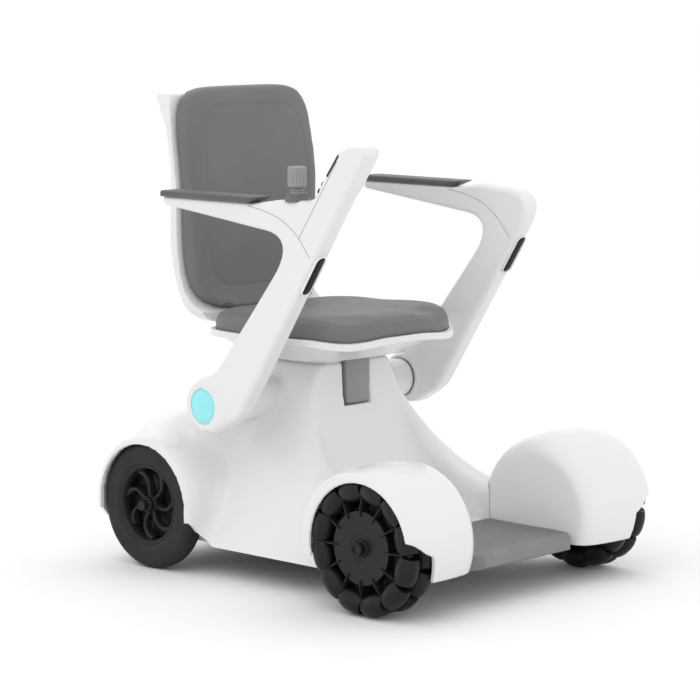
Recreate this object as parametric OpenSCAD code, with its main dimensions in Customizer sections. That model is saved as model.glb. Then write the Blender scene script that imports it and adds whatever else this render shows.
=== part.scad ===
// Indoor power wheelchair: omni wheels in front, drive wheels behind, a pedestal
// seat on a lift column, a folding back and two swing-up arms.
// Frame: +Z up, the front of the chair faces -Y, X runs across the chair.
// The origin is on the floor, in the middle of the outer box.

/* [Overall] */
// Length of the chair over its fenders and rear shell
chair_length = 882; // [840:2:1060]
// Width over the front fenders
chair_width = 690; // [650:5:830]
// Height of the top of the backrest above the floor
back_top_z = 930; // [880:5:1110]

/* [Rear drive wheels] */
// Radius of the rear tyre
rear_wheel_r = 125; // [110:1:135]
// Width of the rear tyre
rear_tyre_w = 45; // [36:1:50]
// Radius of the rim under the tyre
rim_r = 78; // [66:1:84]
// Number of curved spokes in each rear rim
spoke_count = 7; // [5:1:9]
// Radius of the drive shaft
drive_shaft_r = 8; // [6:0.5:10]
// Radius of the drive motor body
motor_r = 38; // [32:1:42]

/* [Front omni wheels] */
// Radius of the front wheel over its rollers
front_wheel_r = 127; // [112:1:133]
// Radius of one roller at its middle
roller_r = 18; // [15:0.5:19]
// Rollers in each of the two rows
rollers_per_row = 12; // [10:1:12]
// Half the gap between the two rows of rollers
row_half_gap = 0.5; // [0.4:0.1:1.5]
// Radius of the fixed front axle
front_axle_r = 10; // [8:0.5:12]

/* [Body] */
// Wall of the moulded shells
shell_wall = 4; // [3:0.5:5]
// Height of the pedestal top above the floor
pedestal_top_z = 404; // [385:1:420]
// Width of the pedestal at its top
pedestal_w = 196; // [180:2:220]
// Depth of the pedestal at its top
pedestal_depth = 210; // [190:2:230]
// Height of the lower edge of the base shell
sill_z = 60; // [52:1:66]
// Radial gap around a tyre inside its wheel well
well_gap = 9; // [7:0.5:10]
// Thickness of the footplate
footplate_t = 28; // [26:1:32]
// Height of the footplate top
footplate_z = 98; // [96:1:106]
// Number of grip ribs across the footplate
rib_count = 14; // [8:1:16]

/* [Seat] */
// Width of the seat cushion
seat_w = 430; // [380:5:450]
// Depth of the seat cushion
seat_depth = 370; // [320:5:380]
// Thickness of the seat cushion
cushion_t = 46; // [38:1:55]
// Height of the seat cushion top at rest
seat_top_z = 508; // [500:1:520]
// Radius of the lift post
post_r = 24; // [18:0.5:28]
// Lift travel that the post is long enough for
lift_travel = 50; // [30:1:60]
// Width of the backrest cushion
back_w = 366; // [320:2:400]
// Thickness of the backrest cushion
back_cushion_t = 40; // [30:1:46]
// Radius of the backrest hinge pin
hinge_pin_r = 6; // [5:0.5:7]

/* [Arms] */
// Thickness of an arm across the chair
arm_w = 44; // [38:1:48]
// Radius of the hub at the foot of an arm
arm_hub_r = 50; // [47:0.5:52]
// Radius of the arm's pivot spigot
spigot_r = 22; // [18:0.5:26]
// Length of the arm pad
pad_length = 230; // [190:5:240]
// Thickness of the arm pad
pad_t = 14; // [10:0.5:18]
// Diameter of the joystick knob
knob_d = 36; // [30:1:38]
// Diameter of a push button
button_d = 9; // [7:0.5:10]
// Travel of a push button
button_travel = 1.5; // [1:0.1:1.8]

/* [Fits] */
// Radial running clearance of shafts and pins in their bores
running_gap = 0.05; // [0.02:0.01:0.1]
// Clearance between parts that move past each other
free_gap = 0.5; // [0.4:0.05:1]

/* [Hidden] */
$fn = 48;

WHITE = [0.93, 0.93, 0.93];
GREY = [0.42, 0.42, 0.43];
DARK = [0.14, 0.14, 0.15];
TEAL = [0.55, 0.90, 0.87];
METAL = [0.55, 0.56, 0.58];
FOOT = [0.55, 0.59, 0.58];

// Outer box
y_front = -chair_length / 2;
y_rear = chair_length / 2;
x_out = chair_width / 2;

// Front wheels and fenders
row_x = roller_r + row_half_gap;
omni_half_w = row_x + roller_r;
fender_r = front_wheel_r + well_gap + 2 * shell_wall + 2;
front_axle_y = y_front + fender_r;
fender_in_x = x_out - 190;
front_wheel_x = x_out - shell_wall - 4 - omni_half_w;
roller_ring_r = front_wheel_r - roller_r;
drum_r = roller_ring_r - roller_r - 2;
hub_disc_r = drum_r - 18;

// A height below anything on the chair, where cuts start
below = -50;

// Rear wheels and arches
arch_out_x = x_out - 25;
rear_wheel_x = arch_out_x - shell_wall - 7 - rear_tyre_w / 2;
arch_r = rear_wheel_r + well_gap + shell_wall;
rear_axle_y = y_rear - arch_r;
well_in_x = rear_wheel_x - rear_tyre_w / 2 - 6;
mouth_r = rear_wheel_r - 8;
arch_low_z = 84;

// Pedestal and base shell
ped_y = 141;
ped_front_y = ped_y - pedestal_depth / 2;
base_front_y = -111;
base_half_w = x_out - 60;
base_rear_y = rear_axle_y + 104;
ledge_depth = 95;
shoulder_in_x = fender_in_x - 14;
shoulder_y = front_axle_y + fender_r + 2;
slot_half_w = 36;
slot_z = 318;
tongue_half_w = 31;

// Frame rails
rail_in_x = 99;
rail_w = 22;
rail_h = 22;
rail_z = footplate_z - shell_wall - rail_h;
rail_top_z = rail_z + rail_h;
rail_front_y = y_front + 48;
rail_rear_y = rear_axle_y + 46;
mast_z = 240;
mast_t = 8;
mast_front_y = 24;
mast_rear_y = ped_y + 82;
column_half = post_r + 8;
motor_in_x = rail_in_x + rail_w + 4;

// Footplate
foot_front_y = y_front + 37;
foot_rear_y = -173;

// Seat
pan_z = pedestal_top_z + shell_wall + free_gap + 6;
pan_top_z = seat_top_z - cushion_t;
seat_y = -99 + seat_depth / 2;
hinge_y = 321;
hinge_z = 472;
hinge_arm_x = 84;
plate_t = 8;

// Arms
arm_y = 146;
arm_z = 334;
arm_in_x = x_out - 87;
arm_mid_x = arm_in_x + arm_w / 2;
arm_out_x = arm_in_x + arm_w;
boss_r = 38;
light_r = 34;
rest_top_z = 726;
pad_rear_y = 261;
lean = 53.7;
face_y = -27;
face_z = 587;

// Joystick, seen on the right arm
stick_y = -83;
stick_z = 746;

// Angle of a step on a circle cut into n
function step(n) = 360 / n;

// How far height z is below the pedestal top, 1 at the sill
function drop(z) = max(0, pedestal_top_z - z) / (pedestal_top_z - sill_z);

// Half width of the base shell at height z, flaring down from the pedestal
function base_half(z) = pedestal_w / 2 + (base_half_w - pedestal_w / 2)
    * pow(drop(z), 1.05);

// Front and rear faces of the base shell at height z
function base_front(z) = ped_front_y - (ped_front_y - base_front_y)
    * pow(drop(z), 2.2);
function base_back(z) = ped_front_y + pedestal_depth
    + (base_rear_y - ped_front_y - pedestal_depth)
    * pow(drop(z), 0.9);

// Heights at which the base shell's outline has a corner
LEVELS = 8;
function base_level(i, low, high) = low + (high - low) * i / LEVELS;

// A rounded outline, a superellipse with half sizes a and b
function squircle(a, b, n, steps) = [for (i = [0 : steps - 1])
    let (t = i * step(steps), c = cos(t), s = sin(t))
    [a * sign(c) * pow(abs(c), 2 / n), b * sign(s) * pow(abs(s), 2 / n)]];

// Puts its children on the chair's left (+X) or, mirrored, on its right (-X)
module on_side(side) {
    mirror([side < 0 ? 1 : 0, 0, 0]) children();
}

// A cylinder along +X from x0 to x1, centred on y, z
module bar_x(x0, x1, y, z, r, fn = 48) {
    translate([x0, y, z])
        rotate([0, 90, 0])
            cylinder(h = x1 - x0, r = r, $fn = fn);
}

// A YZ outline made solid from x0 to x1
module plate_x(x0, x1, points) {
    translate([x0, 0, 0])
        rotate([90, 0, 90])
            linear_extrude(height = x1 - x0)
                polygon(points);
}

// A profile of [radius, x] points turned about the X axis through y, z
module turned_x(y, z, points, fn = 72) {
    translate([0, y, z])
        rotate([0, 90, 0])
            rotate_extrude($fn = fn)
                polygon(points);
}

// A box from its lowest to its highest corner
module block(low, high) {
    translate(low)
        cube(high - low);
}

// The base shell's outline, drawn in by inset, from the height low up to high
module base_form(inset, low, high) {
    up = [for (i = [0 : LEVELS]) base_level(i, low, high)];
    down = [for (i = [LEVELS : -1 : 0]) base_level(i, low, high)];
    side = concat([for (z = up) [base_front(z) + inset, z]],
        [for (z = down) [base_back(z) - inset, z]]);
    front = concat([for (z = up) [-base_half(z) + inset, z]],
        [for (z = down) [base_half(z) - inset, z]]);
    intersection() {
        union() {
            plate_x(-x_out, x_out, side);
            for (x0 = [-x_out, shoulder_in_x + inset])
                plate_x(x0, x0 + x_out - shoulder_in_x - inset, shoulder_side(inset, low));
        }
        translate([0, y_rear + 1, 0])
            rotate([90, 0, 0])
                linear_extrude(height = chair_length + 2)
                    polygon(front);
    }
}

// Side view of the shoulders that run forward from the base shell to the fenders
function shoulder_side(inset, low) = [[shoulder_y + inset, low],
    [shoulder_y + inset, 168 - inset], [-108, 182 - inset], [-67, 204 - inset],
    [-27, 236 - inset], [30, 240 - inset], [30, low]];

// The bulb over a rear wheel
module rear_arch() {
    turned_x(rear_axle_y, rear_wheel_r, [
        [0, well_in_x - 60], [arch_r - 40, well_in_x - 60], [arch_r - 14, well_in_x - 38],
        [arch_r - 3, well_in_x - 14], [arch_r, well_in_x + 10], [arch_r, arch_out_x - 30],
        [arch_r - 5, arch_out_x - 12], [arch_r - 14, arch_out_x - 3],
        [mouth_r + 3, arch_out_x], [0, arch_out_x]]);
}

// The room that a rear wheel turns in
module rear_well() {
    well_r = rear_wheel_r + well_gap;
    turned_x(rear_axle_y, rear_wheel_r, [
        [0, well_in_x], [well_r, well_in_x], [well_r, arch_out_x - 30],
        [well_r - 5, arch_out_x - 14], [well_r - 12, arch_out_x - 6],
        [mouth_r, arch_out_x - shell_wall], [mouth_r, arch_out_x + 1], [0, arch_out_x + 1]]);
    block([well_in_x, rear_axle_y - arch_r - 2, below],
        [x_out, rear_axle_y + arch_r + 2, arch_low_z]);
}

module base_shell() color(WHITE) {
    difference() {
        union() {
            base_form(0, sill_z, pedestal_top_z);
            for (side = [-1, 1]) on_side(side) rear_arch();
        }
        intersection() {
            base_form(shell_wall, sill_z - 1, pedestal_top_z + 1);
            block([-well_in_x + shell_wall, y_front, 0],
                [well_in_x - shell_wall, y_rear, pedestal_top_z + 2]);
        }
        for (side = [-1, 1]) on_side(side) {
            rear_well();
            bar_x(motor_in_x, well_in_x - shell_wall, rear_axle_y, rear_wheel_r, motor_r + 6);
            block([rail_in_x - free_gap, base_front_y, sill_z - 1],
                [rail_in_x + rail_w + free_gap, base_front_y + 50, rail_top_z + free_gap]);
            bar_x(well_in_x - shell_wall - 1, well_in_x + 1, rear_axle_y, rear_wheel_r,
                motor_r - 7);
            bar_x(0, x_out, arm_y, arm_z, boss_r + free_gap);
        }
        block([-slot_half_w, ped_front_y - 60, slot_z],
            [slot_half_w, ped_front_y + 30, pedestal_top_z + 1]);
        block([-x_out, y_front, below], [x_out, y_rear + 1, sill_z]);
        block([-shoulder_in_x, y_front, below],
            [shoulder_in_x, foot_rear_y + ledge_depth, footplate_z]);
        charge_socket_hole();
    }
}

// The low ledge in front of the pedestal, between the two front fenders
module front_cover() color(WHITE) {
    difference() {
        block([-shoulder_in_x, foot_rear_y, sill_z],
            [shoulder_in_x, foot_rear_y + ledge_depth, footplate_z]);
        block([-shoulder_in_x + shell_wall, foot_rear_y - 1, sill_z - 1],
            [shoulder_in_x - shell_wall, foot_rear_y + ledge_depth + 1, footplate_z - shell_wall]);
    }
}

module pedestal_cap() color(WHITE) {
    difference() {
        translate([0, ped_y, pedestal_top_z])
            linear_extrude(height = shell_wall)
                polygon(squircle(pedestal_w / 2, pedestal_depth / 2, 6, 48));
        block([-column_half, ped_y - column_half, pedestal_top_z - 1],
            [column_half, ped_y + column_half, pedestal_top_z + shell_wall + 1]);
        block([-slot_half_w, ped_front_y - 1, pedestal_top_z - 1],
            [slot_half_w, ped_front_y + 16, pedestal_top_z + shell_wall + 1]);
    }
}

// Four holes for a docking bracket under the chair
dock_x = 160;
dock_y = 200;
dock_r = 4.5;

module belly_plate() color(DARK) {
    difference() {
        block([-235, foot_rear_y + ledge_depth, sill_z],
            [235, base_rear_y - 30, sill_z + shell_wall]);
        for (x = [-dock_x / 2, dock_x / 2], y = [-dock_y / 2, dock_y / 2])
            translate([x, 80 + y, sill_z - 1])
                cylinder(h = shell_wall + 2, r = dock_r);
    }
}

// The welded frame: two rails, their cross members, the mast and the motor mounts
module chassis_frame() color(METAL) {
    difference() {
        union() {
            for (side = [-1, 1]) on_side(side) {
                block([rail_in_x, rail_front_y, rail_z],
                    [rail_in_x + rail_w, rail_rear_y, rail_top_z]);
                block([rail_in_x + rail_w, rear_axle_y - 42, rail_z],
                    [motor_in_x, rear_axle_y + 42, rear_wheel_r + 45]);
                for (y = [mast_front_y, mast_rear_y - 16])
                    block([rail_in_x + 5, y, rail_top_z - 1], [rail_in_x + rail_w, y + 16, mast_z]);
                block([rail_in_x + rail_w - 1, front_axle_y - 20, rail_z],
                    [fender_in_x + shell_wall + 1, front_axle_y + 20, rail_top_z]);
            }
            for (y = [rail_front_y, front_axle_y - 11, -40, 60, 150, 215, rail_rear_y - rail_w])
                block([-rail_in_x - 1, y, rail_z], [rail_in_x + 1, y + rail_w, rail_top_z]);
            for (x = [-96, 74])
                block([x, -60, sill_z + shell_wall], [x + rail_w, 240, rail_z + 1]);
            block([-rail_in_x - rail_w, mast_front_y, mast_z - mast_t],
                [rail_in_x + rail_w, mast_rear_y, mast_z]);
        }
        for (side = [-1, 1]) on_side(side)
            bar_x(rail_in_x, motor_in_x + 1, rear_axle_y, rear_wheel_r, 12);
    }
}

module battery_pack() color(DARK) {
    block([-rail_in_x, mast_front_y - 4, rail_top_z],
        [rail_in_x, mast_rear_y - 20, mast_z - mast_t - 4]);
    block([-60, 20, mast_z - mast_t - 4], [60, 90, mast_z - mast_t]);
}

module motor_controller() color(DARK) {
    difference() {
        block([-80, mast_rear_y + 2, rail_top_z], [80, rail_rear_y, rail_top_z + 46]);
        for (i = [0 : 7])
            block([-72 + i * 19, mast_rear_y + 1, rail_top_z + 36],
                [-62 + i * 19, rail_rear_y + 1, rail_top_z + 47]);
    }
}

module drive_motor(side) color(DARK) {
    on_side(side)
        turned_x(rear_axle_y, rear_wheel_r, [
            [0, motor_in_x], [motor_r - 4, motor_in_x], [motor_r, motor_in_x + 4],
            [motor_r, well_in_x - shell_wall - free_gap],
            [motor_r - 8, well_in_x - shell_wall - free_gap],
            [motor_r - 8, well_in_x + 6], [drive_shaft_r + 6, well_in_x + 6],
            [drive_shaft_r + 6, well_in_x + 7], [drive_shaft_r, well_in_x + 7],
            [drive_shaft_r, rear_wheel_x + 12], [0, rear_wheel_x + 12]]);
}

// A fender: a bulb turned about the axle, flat on its inner side and hollow below
module front_fender(side) color(WHITE) {
    in_r = fender_r - 30;
    cut_z = footplate_z - footplate_t - 8;
    on_side(side) difference() {
        turned_x(front_axle_y, front_wheel_r, [
            [0, fender_in_x], [in_r, fender_in_x], [in_r + 12, fender_in_x + 5],
            [in_r + 22, fender_in_x + 20], [fender_r - 3, fender_in_x + 55],
            [fender_r, fender_in_x + 95], [fender_r - 2, x_out - 40],
            [fender_r - 7, x_out - 14], [fender_r - 14, x_out - 3],
            [front_wheel_r - 6, x_out], [0, x_out]], 96);
        turned_x(front_axle_y, front_wheel_r, [
            [0, fender_in_x + shell_wall], [in_r - shell_wall, fender_in_x + shell_wall],
            [in_r + 22 - shell_wall, fender_in_x + 22],
            [front_wheel_r + well_gap, fender_in_x + 60],
            [front_wheel_r + well_gap, x_out - 26], [front_wheel_r + 4, x_out - 13],
            [front_wheel_r - 2, x_out - 6], [front_wheel_r - 9, x_out - shell_wall],
            [front_wheel_r - 9, x_out + 1], [0, x_out + 1]], 96);
        block([fender_in_x - 1, y_front - 1, below], [x_out + 1, 0, cut_z]);
        block([front_wheel_x - omni_half_w - 6, y_front - 1, below],
            [x_out + 1, front_axle_y - 60, cut_z + 34]);
        block([fender_in_x + shell_wall + 6, front_axle_y + 60, below],
            [x_out + 1, 0, cut_z + 24]);
        block([fender_in_x - 1, front_axle_y - 20, rail_z],
            [fender_in_x + shell_wall + 1, front_axle_y + 20, rail_top_z]);
    }
}

module footplate() color(FOOT) {
    low_z = footplate_z - footplate_t;
    pitch = (foot_rear_y - foot_front_y - 60) / rib_count;
    difference() {
        block([-fender_in_x, foot_front_y, low_z], [fender_in_x, foot_rear_y, footplate_z]);
        block([-rail_in_x - rail_w, rail_front_y, low_z - 1],
            [rail_in_x + rail_w, foot_rear_y + 1, rail_top_z]);
        block([rail_in_x, front_axle_y - 20, low_z - 1],
            [fender_in_x + 1, front_axle_y + 20, rail_top_z]);
        block([-fender_in_x - 1, front_axle_y - 20, low_z - 1],
            [-rail_in_x, front_axle_y + 20, rail_top_z]);
        for (side = [-1, 1]) on_side(side)
            translate([fender_in_x, foot_front_y, low_z - 1])
                rotate([0, 0, 45])
                    cube([30, 30, 2 * footplate_t + 4], center = true);
        for (i = [0 : rib_count])
            block([-fender_in_x + 14, foot_front_y + 50 + i * pitch, footplate_z - 1.5],
                [fender_in_x - 14, foot_front_y + 50 + (i + 0.45) * pitch, footplate_z + 1]);
    }
}

module front_axle(side) color(METAL) {
    plate_x0 = fender_in_x + shell_wall + 1;
    on_side(side) {
        block([plate_x0, front_axle_y - 24, rail_z], [plate_x0 + plate_t, front_axle_y + 24,
            front_wheel_r + 26]);
        bar_x(plate_x0 + plate_t, front_wheel_x - omni_half_w - 3, front_axle_y, front_wheel_r,
            front_axle_r + 8);
        bar_x(front_wheel_x - omni_half_w - 3, front_wheel_x + 24, front_axle_y,
            front_wheel_r, front_axle_r);
    }
}

module lift_column() color(METAL) {
    difference() {
        block([-column_half, ped_y - column_half, mast_z],
            [column_half, ped_y + column_half, pedestal_top_z + shell_wall]);
        translate([0, ped_y, mast_z + 10])
            cylinder(h = pedestal_top_z, r = post_r + running_gap, $fn = 64);
    }
}

// The fixed boss that an arm swings on
module arm_pivot(side) color(WHITE) {
    on_side(side)
        turned_x(arm_y, arm_z, [
            [0, column_half], [boss_r, column_half], [boss_r, arm_in_x - 4],
            [spigot_r, arm_in_x - 4], [spigot_r, arm_in_x + 28], [0, arm_in_x + 28]], 64);
}

socket_z = 200;
socket_r = 9;
socket_len = 20;

module charge_socket_hole() {
    translate([0, y_rear, socket_z])
        rotate([90, 0, 0])
            cylinder(h = 150, r = socket_r + 5 + free_gap);
}

module charge_socket() color(DARK) {
    y0 = base_back(socket_z) + 3;
    difference() {
        translate([0, y0, socket_z])
            rotate([90, 0, 0])
                cylinder(h = socket_len + 12, r = socket_r + 5);
        translate([0, y0 + 1, socket_z])
            rotate([90, 0, 0])
                cylinder(h = socket_len + 1, r = socket_r);
        translate([0, y0 - socket_len - 2, socket_z])
            rotate([90, 0, 0])
                cylinder(h = 6, r = 2);
    }
}

module rear_rim(side) color(DARK) {
    x_in = rear_wheel_x - rear_tyre_w / 2 + 2;
    x_face = rear_wheel_x + rear_tyre_w / 2 - 8;
    on_side(side) difference() {
        union() {
            turned_x(rear_axle_y, rear_wheel_r, [
                [rim_r - 6, x_in], [rim_r, x_in], [rim_r, x_face + 5], [rim_r - 6, x_face + 5]]);
            bar_x(x_in + 4, x_face + 2, rear_axle_y, rear_wheel_r, drive_shaft_r + 9);
            for (i = [0 : spoke_count - 1])
                translate([0, rear_axle_y, rear_wheel_r])
                    rotate([i * step(spoke_count), 0, 0])
                        plate_x(x_face - 12, x_face, [
                            [8, -8], [26, -14], [46, -12], [62, -4], [rim_r - 4, 8],
                            [rim_r - 6, 20], [58, 8], [44, 1], [26, 0], [8, 6]]);
        }
        bar_x(x_in, rear_wheel_x + 12 + free_gap, rear_axle_y, rear_wheel_r,
            drive_shaft_r + running_gap);
    }
}

module rear_tyre(side) color(DARK) {
    half = rear_tyre_w / 2;
    on_side(side)
        turned_x(rear_axle_y, rear_wheel_r, [
            [rim_r, rear_wheel_x - half + 3], [rim_r + 6, rear_wheel_x - half],
            [rear_wheel_r - 14, rear_wheel_x - half], [rear_wheel_r - 5, rear_wheel_x - half + 4],
            [rear_wheel_r, rear_wheel_x - half + 13], [rear_wheel_r, rear_wheel_x + half - 13],
            [rear_wheel_r - 5, rear_wheel_x + half - 4], [rear_wheel_r - 14, rear_wheel_x + half],
            [rim_r + 6, rear_wheel_x + half], [rim_r, rear_wheel_x + half - 3]], 96);
}

module rear_cap(side) color(DARK) {
    x0 = rear_wheel_x + rear_tyre_w / 2 - 6;
    on_side(side)
        turned_x(rear_axle_y, rear_wheel_r, [
            [0, x0], [drive_shaft_r + 5, x0], [drive_shaft_r + 3, x0 + 12],
            [drive_shaft_r + 1, x0 + 20], [0, x0 + 21]], 36);
}

// The omni wheel's drum with a fin on each side of every roller
module omni_hub(side) color(DARK) {
    fin_t = 3;
    on_side(side) difference() {
        union() {
            bar_x(front_wheel_x - omni_half_w + 4, front_wheel_x + omni_half_w - 10,
                front_axle_y, front_wheel_r, drum_r, 72);
            bar_x(front_wheel_x + omni_half_w - 10, front_wheel_x + omni_half_w - 5,
                front_axle_y, front_wheel_r, hub_disc_r, 72);
            for (row = [0, 1], i = [0 : rollers_per_row - 1])
                translate([front_wheel_x + (row * 2 - 1) * row_x, front_axle_y, front_wheel_r])
                    rotate([(i + row / 2 + 0.5) * step(rollers_per_row), 0, 0])
                        block([-9, -fin_t / 2, drum_r - 3], [9, fin_t / 2, roller_ring_r + 6]);
        }
        bar_x(front_wheel_x - omni_half_w, front_wheel_x + 24 + free_gap, front_axle_y,
            front_wheel_r, front_axle_r + running_gap);
    }
}

// One row of barrel rollers; each follows the wheel's round outline
module omni_rollers(side, row) color(DARK) {
    half = roller_ring_r * tan(step(rollers_per_row) / 2) - 6.5;
    profile = concat([[0, -half]],
        [for (i = [-4 : 4]) let (t = half * i / 4)
            [sqrt(front_wheel_r * front_wheel_r - t * t) - roller_ring_r, t]],
        [[0, half]]);
    on_side(side)
        for (i = [0 : rollers_per_row - 1])
            translate([front_wheel_x + (row * 2 - 1) * row_x, front_axle_y, front_wheel_r])
                rotate([(i + row / 2) * step(rollers_per_row), 0, 0])
                    translate([0, 0, roller_ring_r])
                        rotate([90, 0, 0])
                            rotate_extrude($fn = 32)
                                polygon(profile);
}

module omni_cap(side) color(DARK) {
    x0 = front_wheel_x + omni_half_w - 5;
    on_side(side)
        turned_x(front_axle_y, front_wheel_r, [
            [0, x0], [13, x0], [13, x0 + 14], [10, x0 + 17], [0, x0 + 17]], 36);
}

// Length of post that stays in the column with the seat fully up
post_hold = 90;

module seat_post() color(METAL) {
    z0 = pedestal_top_z + shell_wall - post_hold - lift_travel;
    translate([0, ped_y, z0])
        cylinder(h = pedestal_top_z + shell_wall + free_gap - z0, r = post_r, $fn = 64);
}

// The plate on the post, the tongue in the pedestal slot and the arms to the back's hinge
module seat_bracket() color(GREY) {
    z0 = pedestal_top_z + shell_wall + free_gap;
    difference() {
        union() {
            block([-90, ped_front_y + 3, z0], [90, ped_y + 92, pan_z]);
            block([-tongue_half_w, ped_front_y - 6, slot_z + 27],
                [tongue_half_w, ped_front_y + 4, pan_z]);
            for (side = [-1, 1]) on_side(side)
                plate_x(hinge_arm_x, hinge_arm_x + plate_t, [
                    [ped_y + 50, z0], [ped_y + 100, z0], [hinge_y + 10, hinge_z - 14],
                    [hinge_y + 14, hinge_z], [hinge_y + 4, hinge_z + 12],
                    [hinge_y - 10, hinge_z + 8], [ped_y + 94, pan_z - 1], [ped_y + 50, pan_z - 1]]);
        }
        bar_x(-x_out, x_out, hinge_y, hinge_z, hinge_pin_r);
    }
}

module hinge_pin() color(METAL) {
    bar_x(-hinge_arm_x - plate_t - 2, hinge_arm_x + plate_t + 2, hinge_y, hinge_z, hinge_pin_r);
}

module seat_pan() color(WHITE) {
    difference() {
        hull() {
            translate([0, seat_y, pan_top_z - 10])
                linear_extrude(height = 10)
                    polygon(squircle(seat_w / 2 + 2, seat_depth / 2 + 2, 3, 40));
            translate([0, seat_y + 10, pan_z])
                linear_extrude(height = 2)
                    polygon(squircle(seat_w / 2 - 60, seat_depth / 2 - 60, 2.6, 40));
        }
        translate([0, seat_y, pan_top_z - 4])
            linear_extrude(height = 10)
                polygon(squircle(seat_w / 2 - 4, seat_depth / 2 - 4, 3, 40));
    }
}

module seat_cushion() color(GREY) {
    translate([0, seat_y, pan_top_z - 4])
        linear_extrude(height = cushion_t + 4)
            polygon(squircle(seat_w / 2 - 5, seat_depth / 2 - 5, 3, 48));
}

// Side view of the back: the line where the cushion lies on the shell
back_line = [[290, 492], [318, 512], [334, 546], [340, 622], [342, 731], [348, 790],
    [357, 844], [369, back_top_z]];

// Side view of the shell's rear face, down from the grip along its top
back_rear = [[408, back_top_z - 14], [398, back_top_z - 36], [376, 850], [364, 800],
    [358, 731], [356, 622], [348, 536], [332, 502], [304, 482]];

function shifted(line, dy, dz) = [for (p = line) [p[0] + dy, p[1] + dz]];
function reversed(line) = [for (i = [len(line) - 1 : -1 : 0]) line[i]];

// Front view of the back, a rounded outline that narrows to the top
module back_outline(grow) {
    mid_z = (back_line[0][1] + back_top_z) / 2;
    half_h = (back_top_z - back_line[0][1]) / 2;
    translate([0, y_rear + 1, 0])
        rotate([90, 0, 0])
            linear_extrude(height = chair_length)
                polygon([for (p = squircle(1, 1, 5, 56))
                    [p[0] * (back_w / 2 + grow - 4 - 4 * p[1]), mid_z + p[1] * (half_h + grow)]]);
}

module back_cushion() color(GREY) {
    intersection() {
        plate_x(-back_w, back_w, concat(shifted(back_line, -back_cushion_t, 0),
            reversed(back_line)));
        back_outline(-3);
        block([-back_w, 0, seat_top_z + 4], [back_w, y_rear, back_top_z]);
    }
}

module back_shell() color(WHITE) {
    intersection() {
        plate_x(-back_w, back_w, concat(back_line, back_rear));
        back_outline(0);
    }
}

// Plates that carry the back on the hinge pin
module back_bracket() color(METAL) {
    inner = reversed([for (i = [4 : 7]) back_rear[i]]);
    difference() {
        for (side = [-1, 1]) on_side(side)
            plate_x(hinge_arm_x - plate_t - free_gap, hinge_arm_x - free_gap, concat(
                [[hinge_y - 12, hinge_z - 4]], inner,
                reversed(shifted(inner, 14, -6)), [[hinge_y + 13, hinge_z - 8],
                [hinge_y, hinge_z - 14]]));
        bar_x(-x_out, x_out, hinge_y, hinge_z, hinge_pin_r + running_gap);
    }
}

// Side outline of an arm: foot, raked beam and armrest
arm_foot = [[arm_y, arm_z - arm_hub_r], [101, 291], [65, 310], [41, 344], [-3, 410],
    [-48, 482], [-115, 586]];
arm_rest = [[-103, rest_top_z + 8], [-51, rest_top_z + 10], [29, rest_top_z - 2],
    [33, rest_top_z], [pad_rear_y - 4, rest_top_z], [pad_rear_y, rest_top_z - 6],
    [pad_rear_y - 4, rest_top_z - 16], [175, 699], [69, 687], [-11, 677], [-41, 662],
    [-49, 640], [face_y, face_z], [121, 402], [arm_y + 10, arm_z + arm_hub_r - 1]];

module arm_beam(side) color(WHITE) {
    top = side > 0 ? [[-185, 700], [-179, 716], [-157, 730], [-131, rest_top_z + 8]]
        : [console_foot[0], console_foot[1]];
    outline = concat(arm_foot, [[-169, 672]], top, arm_rest);
    on_side(side) difference() {
        union() {
            plate_x(arm_in_x, arm_out_x, outline);
            bar_x(arm_in_x, arm_out_x, arm_y, arm_z, arm_hub_r, 64);
            difference() {
                bar_x(arm_in_x - 12, arm_in_x + 1, arm_y, arm_z, arm_hub_r - 4, 64);
                bar_x(arm_in_x - 13, arm_in_x, arm_y, arm_z, boss_r + 2 * free_gap, 64);
            }
        }
        bar_x(arm_in_x - 1, arm_in_x + 28 + free_gap, arm_y, arm_z, spigot_r + running_gap, 64);
        bar_x(arm_out_x - 3, arm_out_x + 1, arm_y, arm_z, light_r, 64);
        lamp_place(0) block([-7, -39, -5], [7, 39, 10]);
        if (side < 0)
            translate([arm_mid_x, stick_y, rest_top_z + 2])
                cylinder(h = 20, r = knob_d / 2 + 2 + free_gap);
    }
}

// Centre of the lamp on a beam's front face
lamp_y = -123.8;

// Puts its children on the front face of a beam, +Z out of the face
module lamp_place(out) {
    translate([arm_mid_x, lamp_y, 600])
        rotate([122.6, 0, 0])
            translate([0, 0, out])
                children();
}

module lamp_bezel(side) color(DARK) {
    on_side(side) lamp_place(0) difference() {
        block([-7, -39, -5], [7, 39, 2]);
        block([-5, -36, -3], [5, 36, 3]);
    }
}

module lamp_lens(side) color([0.3, 0.3, 0.32]) {
    on_side(side) lamp_place(0) block([-5, -36, -3], [5, 36, 0.5]);
}

module hub_light(side) color(TEAL) {
    on_side(side) bar_x(arm_out_x - 3, arm_out_x, arm_y, arm_z, light_r, 64);
}

module arm_pad(side) color(GREY) {
    on_side(side)
        plate_x(arm_in_x - 3, arm_out_x + 3, [
            [pad_rear_y - pad_length - 8, rest_top_z],
            [pad_rear_y - pad_length - 8, rest_top_z + pad_t - 4],
            [pad_rear_y - pad_length, rest_top_z + pad_t], [pad_rear_y - 6, rest_top_z + pad_t],
            [pad_rear_y, rest_top_z + pad_t - 5], [pad_rear_y, rest_top_z]]);
}

// The console carries on the right beam above the armrest; its foot lies on the beam
console_foot = [[-193, 712], [-145, 744]];
console_top_z = 840;
function console_face(z) = face_y - (z - face_z) / tan(lean);

// Puts its children on the console's user-facing side, +Z out of the face, at height z
module console_place(z) {
    translate([-arm_mid_x, console_face(z), z])
        rotate([lean - 180, 0, 0])
            rotate([90, 0, 0])
                children();
}

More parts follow.
